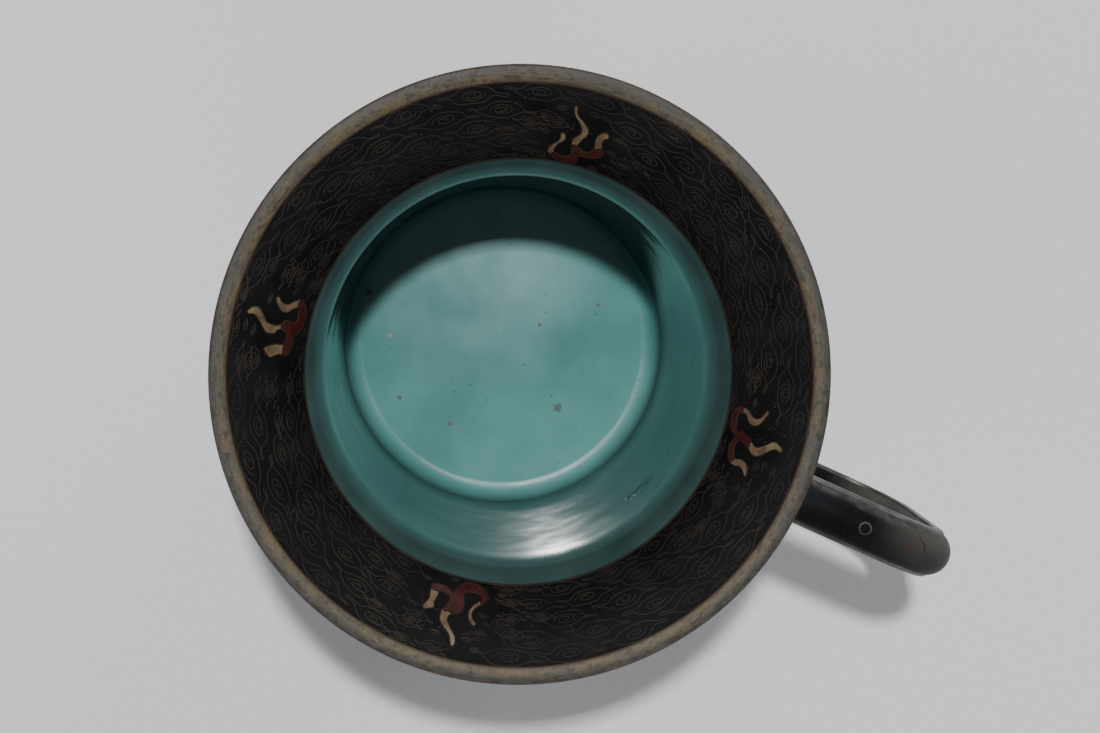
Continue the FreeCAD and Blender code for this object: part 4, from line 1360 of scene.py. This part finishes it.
def run_round(shape, loop, level):
    """Spin a loop of edges by a quarter turn about a bend's centre, and give the last parts."""
    corners = list({vert for edge in loop for vert in edge.verts})
    return bmesh.ops.spin(
        shape,
        geom=corners + loop,
        cent=(BEND_REACH, 0, level),
        axis=(0, 1, 0),
        angle=math.pi / 2,
        steps=BEND_STEPS,
    )["geom_last"]


def strap_piece(name, start, moves, start_reach, material, replaced):
    """Piece swept along the strap from a section drawn across it, in mm from the middle line."""
    shape = draw_section(start, moves)
    for vert in shape.verts:
        vert.co = (start_reach, vert.co.x, STRAP_TOP + vert.co.z)
    loop = shape.edges[:]
    low_bend = STRAP_LOW + BEND
    for run, by in (
        (run_straight, (BEND_REACH - start_reach, 0, 0)),
        (run_round, STRAP_TOP - BEND),
        (run_straight, (0, 0, low_bend - STRAP_TOP + BEND)),
        (run_round, low_bend),
        (run_straight, (STRAP_END - BEND_REACH, 0, 0)),
    ):
        grown = run(shape, loop, by)
        loop = [part for part in grown if isinstance(part, bmesh.types.BMEdge)]
    open_edges = [edge for edge in shape.edges if edge.is_boundary]
    bmesh.ops.holes_fill(shape, edges=open_edges, sides=0)
    finish_piece(shape, name, material, replaced)


print("strap's straight drop in mm:", STRAP_TOP - STRAP_LOW - 2 * BEND)

# %% [markdown]
# ## Enamel faces of the strap
#
# Enamel lies on both faces of the strap, and surface tension domed it while it was soft. A dome is
# an arc, so its centre is worked out from its crown and width and the section is spun about it.

# %% Enamel faces of the strap
STRAP_HALF = 3.1
STRAP_SKIN = 0.6
SHOULDER = 0.9
FACE_CROWN = 3.0
BACK_CROWN = 1.8
FACE_START = 31.6
BACK_START = 29.8


def dome(crown):
    """Level of the centre and size of the arc that domes over the strap to a crown."""
    rise = crown - SHOULDER
    size = (STRAP_HALF ** 2 + rise ** 2) / (2 * rise)
    return crown - size, size


for name, sign, crown, reach, node in (
    ("handle_face", 1, FACE_CROWN, FACE_START, "handle_face_enamel"),
    ("handle_back", -1, BACK_CROWN, BACK_START, "handle_back_enamel"),
):
    centre, size = dome(crown)
    dome_turn = sign * 2 * math.asin(STRAP_HALF / size)
    start = (-STRAP_HALF, sign * STRAP_SKIN)
    section_moves = [
        (-STRAP_HALF, sign * SHOULDER),
        ((0, sign * centre), dome_turn, 24),
        (STRAP_HALF, sign * STRAP_SKIN),
    ]
    strap_piece(name, start, section_moves, reach, handle_black, [node])

# %% [markdown]
# ## Metal edges of the strap
#
# A thicker wire closes each side of the strap and holds the enamel in. Its outer corner is worn
# round towards the face, which is drawn as a few short steps.

# %% Metal edges of the strap
EDGE_START = 30.2
EDGE_SECTION = [
    (3.45, -0.9), (3.6, -0.7), (3.6, 0.15), (3.56, 0.42),
    (3.45, 0.66), (3.28, 0.83), (3.08, 0.92), (3.08, -0.9),
]
for name, side, node in (
    ("handle_left_edge", 1, "handle_left_edge_wire"),
    ("handle_right_edge", -1, "handle_right_edge_wire"),
):
    start, *moves = [(side * across, up) for across, up in EDGE_SECTION]
    strap_piece(name, start, moves, EDGE_START, edge_metal, [node])

# %% [markdown]
# ## Short wire on the bend
#
# A bit of dark wire lies in the enamel where the handle turns down. A flat curve is drawn along
# the strap. Each vertex is laid on the domed face, bend included, and pressed almost level.

# %% Places on the strap's domed face
BEND_START = BEND_REACH - FACE_START
PRESSED = 0.6


def on_face(run, across, height):
    """Point on the outer face, a run along the middle line from where the face starts."""
    centre, size = dome(FACE_CROWN)
    rise = centre + math.sqrt(size ** 2 - across ** 2) + height
    if run < BEND_START:
        return Vector((FACE_START + run, across, STRAP_TOP + rise))
    turn = (run - BEND_START) / BEND
    out = BEND_REACH + (BEND + rise) * math.sin(turn)
    return Vector((out, across, STRAP_TOP - BEND + (BEND + rise) * math.cos(turn)))


def press_on_face(wire, highest):
    """Lay a wire on the outer face, flattened and no higher than a height."""
    for vert in wire.verts:
        vert.co = on_face(vert.co.x, vert.co.y, min(vert.co.z * PRESSED, highest))


print("the bend starts", round(BEND_START, 1), "mm along the face")

# %% Short dark wire on the bend
SHORT_WIRE = [(27.7, 2.2), (28.2, 1.5), (28.7, 0.9), (28.9, 0.2)]
SHORT_WIRE_HALF = 0.1
SHORT_WIRE_TOP = 0.02
short_wire = drawn_curve([SHORT_WIRE], closed=False, wire=SHORT_WIRE_HALF)
press_on_face(short_wire, SHORT_WIRE_TOP)
finish_piece(short_wire, "handle_short_wire", dark_copper)

# %% [markdown]
# ## Ring cell
#
# A tiny closed ring of wire sits in the black of the handle. Eight points on a circle with
# automatic handles make a round ring, and it is laid on the dome in the same way.

# %% Ring cell in the handle's enamel
RING_PLACE = 52.4 - FACE_START
RING_SIZE = 0.82
RING_WIRE_HALF = 0.12
ring_outline = [
    (RING_PLACE + RING_SIZE * math.cos(turn), RING_SIZE * math.sin(turn))
    for turn in (eighth * math.pi / 4 for eighth in range(8))
]
ring_wire = drawn_curve([ring_outline], wire=RING_WIRE_HALF, smoothness=6)
press_on_face(ring_wire, 0.0)
finish_piece(ring_wire, "handle_ring", cell_brass, ["handle_ring_wire"])

# %% [markdown]
# ## Pieces kept from the CAD
#
# The copper body, the strap and the enamel under the floor are hidden or plain, so their CAD shapes
# serve as they are and only take a finish.

# %% Nodes that keep their own shape
for node, material in (
    ("cup_wall", copper),
    ("floor_disc", copper),
    ("handle_strap", copper),
    ("base_enamel", turquoise),
):
    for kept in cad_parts[node].material_slots:
        kept.material = material
    print(node, "is", material.name)

# %% [markdown]
# ## The table
#
# A plain pale sheet at the level of the foot. Fine fibres keep it from looking like a bare plane.

# %% Lay the table
TABLE_HALF = 1.6
paper, tree, shader, place = new_material("pale_paper")
fibres = use_group(tree, clouding, place, Scale=900.0)["Mask"]
sheet = blend_colours(tree, fibres, tint(214, 215, 217), tint(220, 221, 223))
fill_sockets(tree, shader, {"Base Color": sheet, "Roughness": 0.9})
table_shape = bmesh.new()
bmesh.ops.create_grid(table_shape, x_segments=2, y_segments=2, size=TABLE_HALF)
table_piece = mesh_object(table_shape, "table", paper)
print("table faces:", len(table_piece.data.polygons))
